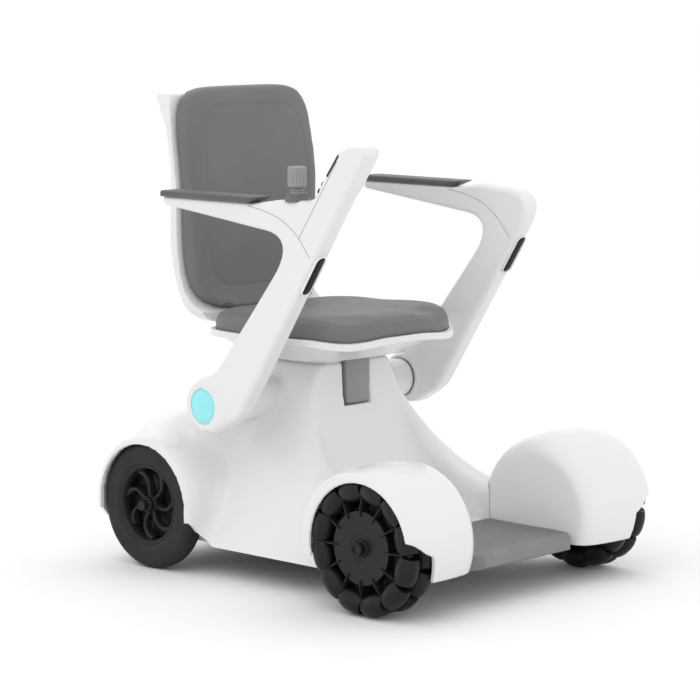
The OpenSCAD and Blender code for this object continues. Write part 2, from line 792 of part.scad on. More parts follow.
module console_housing() color(WHITE) {
    difference() {
        plate_x(-arm_out_x, -arm_in_x, [
            console_foot[0], console_foot[1], [console_face(752), 752],
            [console_face(console_top_z - 8), console_top_z - 8], [-217, console_top_z],
            [-261, console_top_z], [-274, console_top_z - 10]]);
        console_place(806) block([-17, -26, -3], [17, 26, 4]);
        for (i = [0 : 3])
            console_place(button_z(i))
                translate([button_x(i), 0, -6])
                    cylinder(h = 12, r = button_d / 2 + running_gap + free_gap);
    }
}

module console_screen() color(DARK) {
    console_place(806) block([-17, -26, -3], [17, 26, 0.4]);
}

// The four buttons sit in two rows of two under the screen
function button_x(i) = (i % 2) * 20 - 10;
function button_z(i) = 758 + floor(i / 2) * 13;

module push_button(i) color(GREY) {
    console_place(button_z(i))
        translate([button_x(i), 0, -3])
            cylinder(h = 3 + button_travel + 0.5, r = button_d / 2);
}

module joystick_base() color(DARK) {
    bowl_r = knob_d / 2 - 3;
    translate([-arm_mid_x, stick_y, 0])
        difference() {
            translate([0, 0, rest_top_z + 2])
                cylinder(h = stick_z + 3 - rest_top_z - 2, r = bowl_r + 5);
            translate([0, 0, stick_z - 8])
                cylinder(h = 20, r = bowl_r);
            translate([0, bowl_r + 4, stick_z])
                rotate([90, 0, 0])
                    cylinder(h = 2 * bowl_r + 8, r = 2 + running_gap);
        }
}

// The ring tilts on its pins along Y; the stick tilts in it on a pin along X
module joystick_gimbal() color(METAL) {
    ring_r = knob_d / 2 - 3 - free_gap;
    translate([-arm_mid_x, stick_y, stick_z])
        difference() {
            union() {
                translate([0, 0, -2.5])
                    cylinder(h = 5, r = ring_r);
                translate([0, ring_r + 3, 0])
                    rotate([90, 0, 0])
                        cylinder(h = 2 * ring_r + 6, r = 2);
            }
            translate([0, 0, -5])
                cylinder(h = 10, r = 7);
            bar_x(-11, 11, 0, 0, 1.2 + running_gap);
        }
}

module joystick_stick() color(DARK) {
    translate([-arm_mid_x, stick_y, stick_z]) {
        translate([0, 0, -4])
            cylinder(h = 24, r = 4.5);
        bar_x(-11 + free_gap, 11 - free_gap, 0, 0, 1.2);
    }
}

module joystick_knob() color([0.75, 0.75, 0.76]) {
    translate([-arm_mid_x, stick_y, stick_z + 14])
        difference() {
            cylinder(h = 38, r = knob_d / 2);
            translate([0, 0, -1])
                cylinder(h = 7, r = 4.5);
        }
}

chassis_frame();
base_shell();
front_cover();
pedestal_cap();
belly_plate();
battery_pack();
motor_controller();
drive_motor(1);  // drive_motor_left
drive_motor(-1);  // drive_motor_right
front_fender(1);  // front_fender_left
front_fender(-1);  // front_fender_right
footplate();
front_axle(1);  // front_axle_left
front_axle(-1);  // front_axle_right
lift_column();
arm_pivot(1);  // arm_pivot_left
arm_pivot(-1);  // arm_pivot_right
charge_socket();
rear_rim(1);  // rear_rim_left
rear_tyre(1);  // rear_tyre_left
rear_cap(1);  // rear_cap_left
rear_rim(-1);  // rear_rim_right
rear_tyre(-1);  // rear_tyre_right
rear_cap(-1);  // rear_cap_right
omni_hub(1);  // omni_hub_left
omni_rollers(1, 1);  // omni_rollers_outer_left
omni_rollers(1, 0);  // omni_rollers_inner_left
omni_cap(1);  // omni_cap_left
omni_hub(-1);  // omni_hub_right
omni_rollers(-1, 1);  // omni_rollers_outer_right
omni_rollers(-1, 0);  // omni_rollers_inner_right
omni_cap(-1);  // omni_cap_right
seat_post();
seat_bracket();
seat_pan();
seat_cushion();
hinge_pin();
back_bracket();
back_shell();
back_cushion();
arm_beam(1);  // arm_beam_left
arm_pad(1);  // arm_pad_left
hub_light(1);  // hub_light_left
lamp_bezel(1);  // lamp_bezel_left
lamp_lens(1);  // lamp_lens_left
arm_beam(-1);  // arm_beam_right
arm_pad(-1);  // arm_pad_right
hub_light(-1);  // hub_light_right
lamp_bezel(-1);  // lamp_bezel_right
lamp_lens(-1);  // lamp_lens_right
console_housing();
console_screen();
joystick_base();
joystick_gimbal();
joystick_stick();
joystick_knob();
push_button(0);  // button_power
push_button(1);  // button_horn
push_button(2);  // button_faster
push_button(3);  // button_slower
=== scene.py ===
"""Looks of the indoor power wheelchair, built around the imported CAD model.

Shapes are worked out in millimetres and turned into metres when a mesh is made.
+Z is up, the front of the chair faces -Y, and +X is the sitter's left.
"""

import math

import bpy
import numpy as np
from mathutils import Matrix, Vector


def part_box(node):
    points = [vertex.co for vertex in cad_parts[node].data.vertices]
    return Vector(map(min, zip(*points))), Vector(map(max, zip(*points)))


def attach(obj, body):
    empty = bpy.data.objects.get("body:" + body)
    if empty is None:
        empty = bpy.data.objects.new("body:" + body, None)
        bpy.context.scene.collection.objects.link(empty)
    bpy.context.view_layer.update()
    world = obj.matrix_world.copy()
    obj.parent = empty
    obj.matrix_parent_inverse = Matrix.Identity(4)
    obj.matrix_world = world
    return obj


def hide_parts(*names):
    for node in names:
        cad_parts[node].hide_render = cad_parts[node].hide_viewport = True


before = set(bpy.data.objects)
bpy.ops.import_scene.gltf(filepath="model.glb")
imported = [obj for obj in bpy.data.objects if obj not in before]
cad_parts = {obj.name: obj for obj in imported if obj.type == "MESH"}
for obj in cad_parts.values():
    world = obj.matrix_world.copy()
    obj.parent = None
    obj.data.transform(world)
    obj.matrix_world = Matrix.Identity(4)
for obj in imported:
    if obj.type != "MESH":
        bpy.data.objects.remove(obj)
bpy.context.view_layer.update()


# ---------------------------------------------------------------- the frame's sizes

def box(node):
    """Lowest and highest corner of a CAD node in millimetres."""
    low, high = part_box(node)
    return np.array(low) * 1000, np.array(high) * 1000


def middle(node):
    low, high = box(node)
    return (low + high) / 2


FENDER_LOW, FENDER_HIGH = box("front_fender_left")
SHELL_LOW, SHELL_HIGH = box("base_shell")
X_OUT = FENDER_HIGH[0]
FENDER_IN_X = FENDER_LOW[0]
FRONT_WHEEL = middle("omni_rollers_outer_left")
FRONT_WHEEL[0] = (box("omni_rollers_outer_left")[1][0] + box("omni_rollers_inner_left")[0][0]) / 2
FRONT_R = (box("omni_rollers_outer_left")[1][2] - box("omni_rollers_outer_left")[0][2]) / 2
FENDER_R = FENDER_HIGH[2] - FRONT_WHEEL[2]
REAR_WHEEL = middle("rear_tyre_left")
REAR_R = (box("rear_tyre_left")[1][2] - box("rear_tyre_left")[0][2]) / 2
TYRE_W = box("rear_tyre_left")[1][0] - box("rear_tyre_left")[0][0]
RIM_R = (box("rear_rim_left")[1][2] - box("rear_rim_left")[0][2]) / 2
ARCH_OUT_X = SHELL_HIGH[0]
ARCH_R = SHELL_HIGH[1] - REAR_WHEEL[1]
WELL_IN_X = box("rear_tyre_left")[0][0] - 6
PEDESTAL_TOP = box("pedestal_cap")[0][2]
PEDESTAL_HALF = box("pedestal_cap")[1][0]
PEDESTAL_FRONT, PEDESTAL_BACK = box("pedestal_cap")[0][1], box("pedestal_cap")[1][1]
SILL = SHELL_LOW[2]
PIVOT = middle("hub_light_left")
ARM_OUT_X = box("hub_light_left")[1][0]
LIGHT_R = (box("hub_light_left")[1][2] - box("hub_light_left")[0][2]) / 2
PAD_LOW, PAD_HIGH = box("arm_pad_left")
ARM_IN_X = PAD_LOW[0] + 3
ARM_MID_X = (ARM_IN_X + ARM_OUT_X) / 2
ARM_HALF = (ARM_OUT_X - ARM_IN_X) / 2
HUB_R = 50
BOSS_R = (box("arm_pivot_left")[1][2] - box("arm_pivot_left")[0][2]) / 2
FOOT_LOW, FOOT_HIGH = box("footplate")
COVER_LOW, COVER_HIGH = box("front_cover")
SEAT_LOW, SEAT_HIGH = box("seat_cushion")
PAN_LOW, PAN_HIGH = box("seat_pan")
BACK_LOW, BACK_HIGH = box("back_cushion")
KNOB_LOW, KNOB_HIGH = box("joystick_knob")
SOCKET = middle("charge_socket")


# ---------------------------------------------------------------- distance fields

def smooth_min(a, b, reach):
    """The smaller of two distances, with a fillet about reach wide where they meet."""
    blend = np.maximum(reach - np.abs(a - b), 0) / reach
    return np.minimum(a, b) - blend * blend * reach / 4


def smooth_max(a, b, reach):
    return -smooth_min(-a, -b, reach)


def smooth_step(value, start, end):
    t = np.clip((value - start) / (end - start), 0, 1)
    return t * t * (3 - 2 * t)


def round_join(a, b, radius):
    """Distance to where both a and b are negative, with the outer corner rounded."""
    a, b = a + radius, b + radius
    return np.hypot(np.maximum(a, 0), np.maximum(b, 0)) + np.minimum(np.maximum(a, b), 0) - radius


def slab(value, low, high):
    return np.abs(value - (low + high) / 2) - (high - low) / 2


def polygon_distance(u, v, points):
    """Distance from (u, v) to a closed outline, negative inside it."""
    nearest = np.full(u.shape, 1e18)
    inside = np.zeros(u.shape, bool)
    corners = np.asarray(points, float)
    for (au, av), (bu, bv) in zip(corners, np.roll(corners, -1, axis=0)):
        du, dv = bu - au, bv - av
        wu, wv = u - au, v - av
        t = np.clip((wu * du + wv * dv) / (du * du + dv * dv + 1e-12), 0, 1)
        nearest = np.minimum(nearest, (wu - t * du) ** 2 + (wv - t * dv) ** 2)
        if dv:
            inside ^= ((av > v) != (bv > v)) & (wu < wv * du / dv)
    return np.where(inside, -1, 1) * np.sqrt(nearest)


def fillet(points, steps=6):
    """Rounds the corners of a closed outline of (u, v, cut), cut being how far back each starts."""
    rounded = []
    count = len(points)
    for i, (u, v, cut) in enumerate(points):
        corner = np.array([u, v], float)
        before = np.array(points[i - 1][:2], float) - corner
        after = np.array(points[(i + 1) % count][:2], float) - corner
        if cut == 0:
            rounded.append(tuple(corner))
            continue
        start = corner + before * min(cut / np.linalg.norm(before), 0.5)
        end = corner + after * min(cut / np.linalg.norm(after), 0.5)
        for k in range(steps + 1):
            t = k / steps
            rounded.append(tuple(start * (1 - t) ** 2 + corner * 2 * t * (1 - t) + end * t * t))
    return rounded


def curve_through(points, per=8):
    """Points of a smooth open line through the given ones."""
    p = np.asarray(points, float)
    p = np.vstack([2 * p[0] - p[1], p, 2 * p[-1] - p[-2]])
    line = []
    for a, b, c, d in zip(p[:-3], p[1:-2], p[2:-1], p[3:]):
        for k in range(per):
            t = k / per
            line.append(0.5 * (2 * b + (c - a) * t + (2 * a - 5 * b + 4 * c - d) * t * t
                               + (3 * b - a - 3 * c + d) * t ** 3))
    line.append(p[-2])
    return np.array(line)


# ---------------------------------------------------------------- fields to meshes

BLOCK = 8


def sample(field, low, high, cell):
    """Node values of field on a grid, worked out in full only in blocks near its surface."""
    blocks = np.ceil((np.array(high) - low) / (cell * BLOCK)).astype(int)
    centres = [low[a] + (np.arange(blocks[a]) + 0.5) * BLOCK * cell for a in range(3)]
    coarse = field(*[g.ravel() for g in np.meshgrid(*centres, indexing="ij")]).reshape(blocks)
    near = np.abs(coarse) < BLOCK * cell * 1.5
    wide, values = near, coarse
    for axis in range(3):
        wide = np.repeat(wide, BLOCK, axis)
        values = np.repeat(values, BLOCK, axis)
        pad = [(0, 0)] * 3
        pad[axis] = (0, 1)
        wide = np.pad(wide, pad)
        values = np.pad(values, pad, mode="edge")
        later = np.take(wide, range(1, wide.shape[axis]), axis)
        later = later | np.take(wide, range(wide.shape[axis] - 1), axis)
        first = np.take(wide, [0], axis)
        wide = np.concatenate([first, later], axis)
    at = np.argwhere(wide)
    values[tuple(at.T)] = field(*(low[:, None] + at.T * cell))
    return values, wide


def crossings(field, values, known, low, cell, axis):
    """Where the surface crosses the grid edges along one axis: nodes, points and which way it faces."""
    first = [slice(None)] * 3
    second = [slice(None)] * 3
    first[axis], second[axis] = slice(None, -1), slice(1, None)
    a, b = values[tuple(first)], values[tuple(second)]
    hit = ((a < 0) != (b < 0)) & known[tuple(first)] & known[tuple(second)]
    node = np.argwhere(hit)
    fa, fb = a[hit], b[hit]
    outward = fa < 0
    start = low + node * cell
    ta, tb = np.zeros(len(fa)), np.ones(len(fa))
    for _ in range(3):
        t = ta + (tb - ta) * fa / (fa - fb)
        point = start.copy()
        point[:, axis] += t * cell
        f = field(*point.T)
        same = (f < 0) == (fa < 0)
        ta, fa = np.where(same, t, ta), np.where(same, f, fa)
        tb, fb = np.where(same, tb, t), np.where(same, fb, f)
    point[:, axis] = start[:, axis] + (ta + (tb - ta) * fa / (fa - fb + 1e-30)) * cell
    return node, point, outward


def polygonise(field, low, high, cell):
    """Dual contouring: a quad mesh of the surface where field is 0, which keeps its sharp edges."""
    low = np.array(low, float)
    values, known = sample(field, low, high, cell)
    shape = np.array(values.shape)
    owner, points, normals, quads = [], [], [], []
    step = cell * 0.04
    for axis in range(3):
        node, point, outward = crossings(field, values, known, low, cell, axis)
        slope = []
        for d in range(3):
            ahead, behind = point.copy(), point.copy()
            ahead[:, d] += step
            behind[:, d] -= step
            slope.append(field(*ahead.T) - field(*behind.T))
        slope = np.array(slope).T
        slope /= np.linalg.norm(slope, axis=1, keepdims=True) + 1e-12
        b, c = (axis + 1) % 3, (axis + 2) % 3
        ring = []
        for db, dc in ((0, 0), (-1, 0), (-1, -1), (0, -1)):
            cells = node.copy()
            cells[:, b] += db
            cells[:, c] += dc
            ring.append(np.ravel_multi_index(cells.T, shape))
            owner.append(ring[-1])
            points.append(point)
            normals.append(slope)
        ring = np.array(ring).T
        quads.append(np.where(outward[:, None], ring, ring[:, ::-1]))
    owner, points, normals = np.concatenate(owner), np.vstack(points), np.vstack(normals)
    cells, which = np.unique(owner, return_inverse=True)
    which = which.ravel()

    def total(weights):
        return np.bincount(which, weights, len(cells))

    number = total(np.ones(len(which)))
    mass = np.stack([total(points[:, d]) for d in range(3)], 1) / number[:, None]
    offset = ((points - mass[which]) * normals).sum(1)
    matrix = np.zeros((len(cells), 3, 3))
    right = np.zeros((len(cells), 3))
    for i in range(3):
        right[:, i] = total(normals[:, i] * offset)
        for j in range(i, 3):
            matrix[:, i, j] = matrix[:, j, i] = total(normals[:, i] * normals[:, j])
    matrix += np.eye(3) * (0.06 * number)[:, None, None]
    vertex = mass + np.linalg.solve(matrix, right[:, :, None])[:, :, 0]
    corner = low + np.array(np.unravel_index(cells, shape)).T * cell
    vertex = np.clip(vertex, corner, corner + cell)
    faces = np.searchsorted(cells, np.vstack(quads))
    return vertex, faces


# ---------------------------------------------------------------- mesh builders

def make(name, points, faces, material, body, replaces=(), slot=None, sharp=38, parent=None):
    """A mesh piece from points in millimetres, riding on a CAD body."""
    mesh = bpy.data.meshes.new(name)
    faces = [tuple(int(i) for i in f) for f in faces]
    mesh.from_pydata((np.asarray(points, float) / 1000).tolist(), [], faces)
    mesh.validate()
    mesh.polygons.foreach_set("use_smooth", [True] * len(mesh.polygons))
    if sharp:
        mesh.set_sharp_from_angle(angle=math.radians(sharp))
    piece = bpy.data.objects.new(name, mesh)
    bpy.context.scene.collection.objects.link(piece)
    mesh.materials.append(material)
    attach(piece, body)
    if replaces:
        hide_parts(*replaces)
    return piece


def mirrored(points, faces, side):
    """The same mesh on the chair's left (1) or, mirrored, on its right (-1)."""
    points = np.array(points, float)
    if side > 0:
        return points, faces
    points[:, 0] *= -1
    return points, [tuple(f)[::-1] for f in faces]


def joined(parts):
    points, faces = [], []
    for p, f in parts:
        base = sum(len(q) for q in points)
        points.append(np.asarray(p, float))
        faces += [tuple(i + base for i in g) for g in f]
    return np.vstack(points), faces


def lathe(profile, centre, steps=96, closed=False):
    """A profile of (x, radius) turned about the X axis through centre; ends on the axis are capped."""
    profile = np.asarray(profile, float)
    rows = len(profile)
    points, faces = [], []
    for k in range(steps):
        a = 2 * math.pi * k / steps
        for x, r in profile:
            points.append((centre[0] + x, centre[1] + r * math.cos(a), centre[2] + r * math.sin(a)))
    for k in range(steps):
        n = (k + 1) % steps
        for i in range(rows if closed else rows - 1):
            j = (i + 1) % rows
            faces.append((k * rows + i, k * rows + j, n * rows + j, n * rows + i))
    return weld(np.array(points), faces)


def weld(points, faces, size=0.002):
    """Joins points that lie together and drops the faces that vanish with them."""
    keys = np.round(points / size).astype(np.int64)
    _, first, which = np.unique(keys, axis=0, return_index=True, return_inverse=True)
    which = which.ravel()
    kept = []
    for f in faces:
        g = []
        for i in f:
            v = int(which[i])
            if not g or g[-1] != v:
                g.append(v)
        if len(g) > 1 and g[0] == g[-1]:
            g.pop()
        if len(g) > 2:
            kept.append(tuple(g))
    return points[first], kept


def turned(points, faces, angle, centre):
    """Turned by angle in degrees about the X axis through centre."""
    a = math.radians(angle)
    p = np.array(points, float)
    y, z = p[:, 1] - centre[1], p[:, 2] - centre[2]
    p[:, 1] = centre[1] + y * math.cos(a) - z * math.sin(a)
    p[:, 2] = centre[2] + y * math.sin(a) + z * math.cos(a)
    return p, faces


def round_profile(points, steps=5):
    """Rounds the corners of an open profile of (u, v, cut)."""
    line = []
    for i, (u, v, cut) in enumerate(points):
        corner = np.array([u, v], float)
        if cut == 0 or i in (0, len(points) - 1):
            line.append(corner)
            continue
        before = np.array(points[i - 1][:2], float) - corner
        after = np.array(points[i + 1][:2], float) - corner
        start = corner + before * min(cut / np.linalg.norm(before), 0.5)
        end = corner + after * min(cut / np.linalg.norm(after), 0.5)
        for k in range(steps + 1):
            t = k / steps
            line.append(start * (1 - t) ** 2 + corner * 2 * t * (1 - t) + end * t * t)
    return np.array(line)


def loft(rings, cap_start=True, cap_end=True):
    """Quads between closed rings of equal length, each a list of (x, y, z)."""
    count = len(rings[0])
    points = np.vstack(rings)
    faces = []
    for r in range(len(rings) - 1):
        for k in range(count):
            n = (k + 1) % count
            a, b = r * count, (r + 1) * count
            faces.append((a + k, a + n, b + n, b + k))
    if cap_start:
        faces.append(tuple(range(count - 1, -1, -1)))
    if cap_end:
        faces.append(tuple((len(rings) - 1) * count + k for k in range(count)))
    return points, faces


def tube(line, radius, sides=10, flat=1.0):
    """A round rod along a line of points; flat squeezes it across."""
    line = np.asarray(line, float)
    along = np.gradient(line, axis=0)
    along /= np.linalg.norm(along, axis=1, keepdims=True)
    rings = []
    guide = np.array([1.0, 0, 0]) if abs(along[0][0]) < 0.9 else np.array([0, 0, 1.0])
    for p, d in zip(line, along):
        u = guide - d * (guide @ d)
        u /= np.linalg.norm(u)
        v = np.cross(d, u)
        ring = []
        for k in range(sides):
            a = 2 * math.pi * k / sides
            ring.append(p + u * (radius * math.cos(a)) + v * (radius * flat * math.sin(a)))
        rings.append(np.array(ring))
    return loft(rings)


def superellipse(half_x, half_y, power, steps):
    """A rounded outline, evenly spread, as (x, y) rows."""
    a = np.linspace(0, 2 * math.pi, 2000, endpoint=False)
    x = half_x * np.sign(np.cos(a)) * np.abs(np.cos(a)) ** (2 / power)
    y = half_y * np.sign(np.sin(a)) * np.abs(np.sin(a)) ** (2 / power)
    length = np.concatenate([[0], np.cumsum(np.hypot(np.diff(x), np.diff(y)))])
    at = np.linspace(0, length[-1], steps, endpoint=False)
    return np.stack([np.interp(at, length, x), np.interp(at, length, y)], 1)


# ---------------------------------------------------------------- materials

def node_tree(name):
    material = bpy.data.materials.new(name)
    material.use_nodes = True
    tree = material.node_tree
    shader = tree.nodes["Principled BSDF"]
    where = tree.nodes.new("ShaderNodeTexCoord").outputs["Object"]
    return material, tree, shader, where


def noise(tree, where, scale, detail=2.0, stretch=None):
    if stretch:
        mapping = tree.nodes.new("ShaderNodeMapping")
        mapping.inputs["Scale"].default_value = stretch
        tree.links.new(where, mapping.inputs["Vector"])
        where = mapping.outputs["Vector"]
    n = tree.nodes.new("ShaderNodeTexNoise")
    n.inputs["Scale"].default_value = scale
    n.inputs["Detail"].default_value = detail
    tree.links.new(where, n.inputs["Vector"])
    return n.outputs["Fac"]


def spread(tree, value, low, high):
    m = tree.nodes.new("ShaderNodeMapRange")
    m.inputs["From Min"].default_value = 0.3
    m.inputs["From Max"].default_value = 0.7
    m.inputs["To Min"].default_value = low
    m.inputs["To Max"].default_value = high
    tree.links.new(value, m.inputs["Value"])
    return m.outputs["Result"]


def tint(tree, value, dark, light):
    ramp = tree.nodes.new("ShaderNodeValToRGB")
    ramp.color_ramp.elements[0].position = 0.32
    ramp.color_ramp.elements[1].position = 0.68
    ramp.color_ramp.elements[0].color = (*dark, 1)
    ramp.color_ramp.elements[1].color = (*light, 1)
    tree.links.new(value, ramp.inputs["Fac"])
    return ramp.outputs["Color"]


def bump(tree, height, distance, strength=1.0, after=None):
    b = tree.nodes.new("ShaderNodeBump")
    b.inputs["Distance"].default_value = distance
    b.inputs["Strength"].default_value = strength
    tree.links.new(height, b.inputs["Height"])
    if after is not None:
        tree.links.new(after, b.inputs["Normal"])
    return b.outputs["Normal"]


def finish_material(name, colour, vary=0.06, rough=(0.3, 0.4), cloud=6, grain=None, skin=None,
                    metallic=0.0, coat=0.0, sheen=0.0, specular=0.5):
    """Colour clouds, uneven roughness and up to two scales of relief on one Principled shader.

    grain and skin are (scale, depth in metres) of fine noise and of leather-like cells."""
    material, tree, shader, where = node_tree(name)
    clouds = noise(tree, where, cloud, 4)
    dark = [c * (1 - vary) for c in colour]
    light = [min(1, c * (1 + vary)) for c in colour]
    tree.links.new(tint(tree, clouds, dark, light), shader.inputs["Base Color"])
    tree.links.new(spread(tree, noise(tree, where, cloud * 5, 5), *rough),
                   shader.inputs["Roughness"])
    relief = None
    if skin:
        cells = tree.nodes.new("ShaderNodeTexVoronoi")
        cells.feature = "SMOOTH_F1"
        cells.inputs["Scale"].default_value = skin[0]
        tree.links.new(where, cells.inputs["Vector"])
        relief = bump(tree, cells.outputs["Distance"], skin[1])
    if grain:
        relief = bump(tree, noise(tree, where, grain[0], 6), grain[1], 1.0, relief)
    if relief is not None:
        tree.links.new(relief, shader.inputs["Normal"])
    shader.inputs["Metallic"].default_value = metallic
    shader.inputs["Coat Weight"].default_value = coat
    shader.inputs["Coat Roughness"].default_value = 0.08
    shader.inputs["Sheen Weight"].default_value = sheen
    shader.inputs["Specular IOR Level"].default_value = specular
    return material


WHITE = finish_material("white_gloss", (0.76, 0.76, 0.765), 0.012, (0.20, 0.27),
                        grain=(420, 0.00002), coat=0.35)
METAL = finish_material("powder_coat", (0.30, 0.31, 0.33), 0.05, (0.42, 0.55),
                        grain=(900, 0.00008), metallic=0.3)
BRACKET = finish_material("bracket_paint", (0.27, 0.27, 0.275), 0.04, (0.38, 0.48),
                          grain=(900, 0.00006))
BLACK = finish_material("black_plastic", (0.018, 0.018, 0.019), 0.12, (0.4, 0.55),
                        grain=(1200, 0.00006))
CASE = finish_material("battery_plastic", (0.03, 0.03, 0.033), 0.1, (0.5, 0.62),
                       grain=(700, 0.0001))
NYLON = finish_material("filled_nylon", (0.012, 0.012, 0.013), 0.15, (0.40, 0.54),
                        grain=(1500, 0.00007), specular=0.28)
TYRE = finish_material("tyre_rubber", (0.016, 0.016, 0.017), 0.12, (0.5, 0.68),
                       grain=(800, 0.00012), specular=0.3)
ROLLER = finish_material("roller_rubber", (0.006, 0.006, 0.0065), 0.15, (0.34, 0.5),
                         grain=(1000, 0.00009), specular=0.28)
CUSHION = finish_material("cushion_skin", (0.138, 0.138, 0.140), 0.045, (0.5, 0.62), cloud=9,
                          grain=(1600, 0.00010), skin=(850, 0.00022), sheen=0.12)
PAD = finish_material("pad_skin", (0.088, 0.088, 0.090), 0.05, (0.45, 0.58), cloud=12,
                      grain=(1600, 0.00010), skin=(950, 0.00020), sheen=0.1)
SCREEN = finish_material("screen_glass", (0.010, 0.010, 0.012), 0.1, (0.06, 0.12), coat=0.8)
KNOB = finish_material("knob_rubber", (0.27, 0.272, 0.275), 0.06, (0.4, 0.55),
                       grain=(1100, 0.00008))
BUTTON = finish_material("button_plastic", (0.12, 0.125, 0.13), 0.06, (0.45, 0.6),
                         grain=(1300, 0.00007))
FOOTPLATE = finish_material("footplate_polymer", (0.195, 0.206, 0.203), 0.05, (0.46, 0.62),
                            cloud=10, grain=(900, 0.00012))
LENS = finish_material("smoked_lens", (0.005, 0.005, 0.006), 0.1, (0.35, 0.45), specular=0.2)
GAP = finish_material("parting_gap", (0.28, 0.28, 0.285), 0.05, (0.5, 0.6))


def teal_material():
    """A back-lit diffuser: teal plastic with a soft, even glow."""
    material, tree, shader, where = node_tree("teal_diffuser")
    colour = tint(tree, noise(tree, where, 40, 3), (0.26, 0.70, 0.73), (0.29, 0.74, 0.77))
    tree.links.new(colour, shader.inputs["Base Color"])
    tree.links.new(colour, shader.inputs["Emission Color"])
    shader.inputs["Emission Strength"].default_value = 0.10
    tree.links.new(spread(tree, noise(tree, where, 90, 3), 0.25, 0.35),
                   shader.inputs["Roughness"])
    tree.links.new(bump(tree, noise(tree, where, 700, 2), 0.00005), shader.inputs["Normal"])
    return material


TEAL = teal_material()


# ---------------------------------------------------------------- base body

BASE_WALL = 9.0
BASE_CELL = 5.0
BASE_HALF = X_OUT - 60
BASE_REAR = REAR_WHEEL[1] + 104
BASE_FRONT = -111
SHOULDER_IN = COVER_HIGH[0]
LEDGE_REAR = COVER_HIGH[1]
FOOT_WALL_Y = -58
FENDER_BACK = 9
SLOT_LOW = 318


def base_drop(z):
    return np.clip((PEDESTAL_TOP - z) / (PEDESTAL_TOP - SILL), 0, 1.1)


def shoulder_top(y):
    """Height of the shoulder's crest, which falls from the pedestal towards the fender."""
    return 163 + 73 * (np.maximum(y + 188, 0) / 161) ** 2


def base_outer(x, y, z):
    """The pedestal with its two shoulders, without arches: x is the distance from the middle."""
    drop = base_drop(z)
    soft = 34 + 52 * drop
    side = (x - PEDESTAL_HALF - (BASE_HALF - PEDESTAL_HALF) * drop ** 1.05) * 0.87
    back = (y - PEDESTAL_BACK - (BASE_REAR - PEDESTAL_BACK) * drop ** 0.9) * 0.88
    front = PEDESTAL_FRONT - (PEDESTAL_FRONT - BASE_FRONT) * drop ** 2.2 - y
    front = front * (1 - 0.25 * drop)
    shoulder = smooth_max((z - shoulder_top(y)) * 0.85, SHOULDER_IN - x, 22)
    foot_wall = FOOT_WALL_Y - 63 * (x / 99) ** 1.4 - y
    face = smooth_max(smooth_min(front, shoulder, 46), foot_wall, 12)
    body = smooth_max(smooth_max(side, back, soft * 1.5), face, soft * 0.45)
    return smooth_max(body, z - PEDESTAL_TOP, 10)


def haunch(x, y, z):
    """The swelling that runs from the arm's pivot back over the drive wheel."""
    a, b = np.array([180.0, 200, 296]), np.array([204.0, 350, 226])
    line = b - a
    t = ((x - a[0]) * line[0] + (y - a[1]) * line[1] + (z - a[2]) * line[2]) / (line @ line)
    t = np.clip(t, 0, 1)
    away = np.sqrt((x - a[0] - t * line[0]) ** 2 + (y - a[1] - t * line[1]) ** 2
                   + (z - a[2] - t * line[2]) ** 2)
    return away - 42 - 14 * t


def x_disc(x, y, z, centre, radius, low, high, rounding):
    """A disc with rounded rims, turned about the X axis through centre."""
    r = np.hypot(y - centre[1], z - centre[2])
    return round_join(r - radius, slab(x, low, high), rounding)


def fender_outer(x, y, z):
    """The fender's dome, whose round outline sits a little behind the wheel's axle."""
    r = np.hypot(y - FRONT_WHEEL[1] - FENDER_BACK, z - FRONT_WHEEL[2])
    return polygon_distance(x, r, FENDER_OUTLINE)


def arch_outer(x, y, z):
    r = np.hypot(y - REAR_WHEEL[1], z - REAR_WHEEL[2])
    return polygon_distance(x, r, ARCH_OUTLINE)


# Half sections as (x, radius): a fender from its inner face, and the arch over a drive wheel
FENDER_OUTLINE = [(FENDER_IN_X + u, r) for u, r in fillet([
    (0, -60, 0), (0, FENDER_R - 27, 12), (18, FENDER_R - 9, 18), (60, FENDER_R - 2, 30),
    (125, FENDER_R, 40), (172, FENDER_R - 6, 20), (190, FENDER_R - 11, 8), (190, -60, 0)], 8)]
ARCH_OUTLINE = fillet([
    (WELL_IN_X - 84, -60, 0), (WELL_IN_X - 84, ARCH_R - 34, 30), (WELL_IN_X - 20, ARCH_R, 50),
    (ARCH_OUT_X - 24, ARCH_R, 16), (ARCH_OUT_X - 5, ARCH_R - 6, 7), (ARCH_OUT_X, ARCH_R - 13, 3),
    (ARCH_OUT_X, -60, 0)], 8)


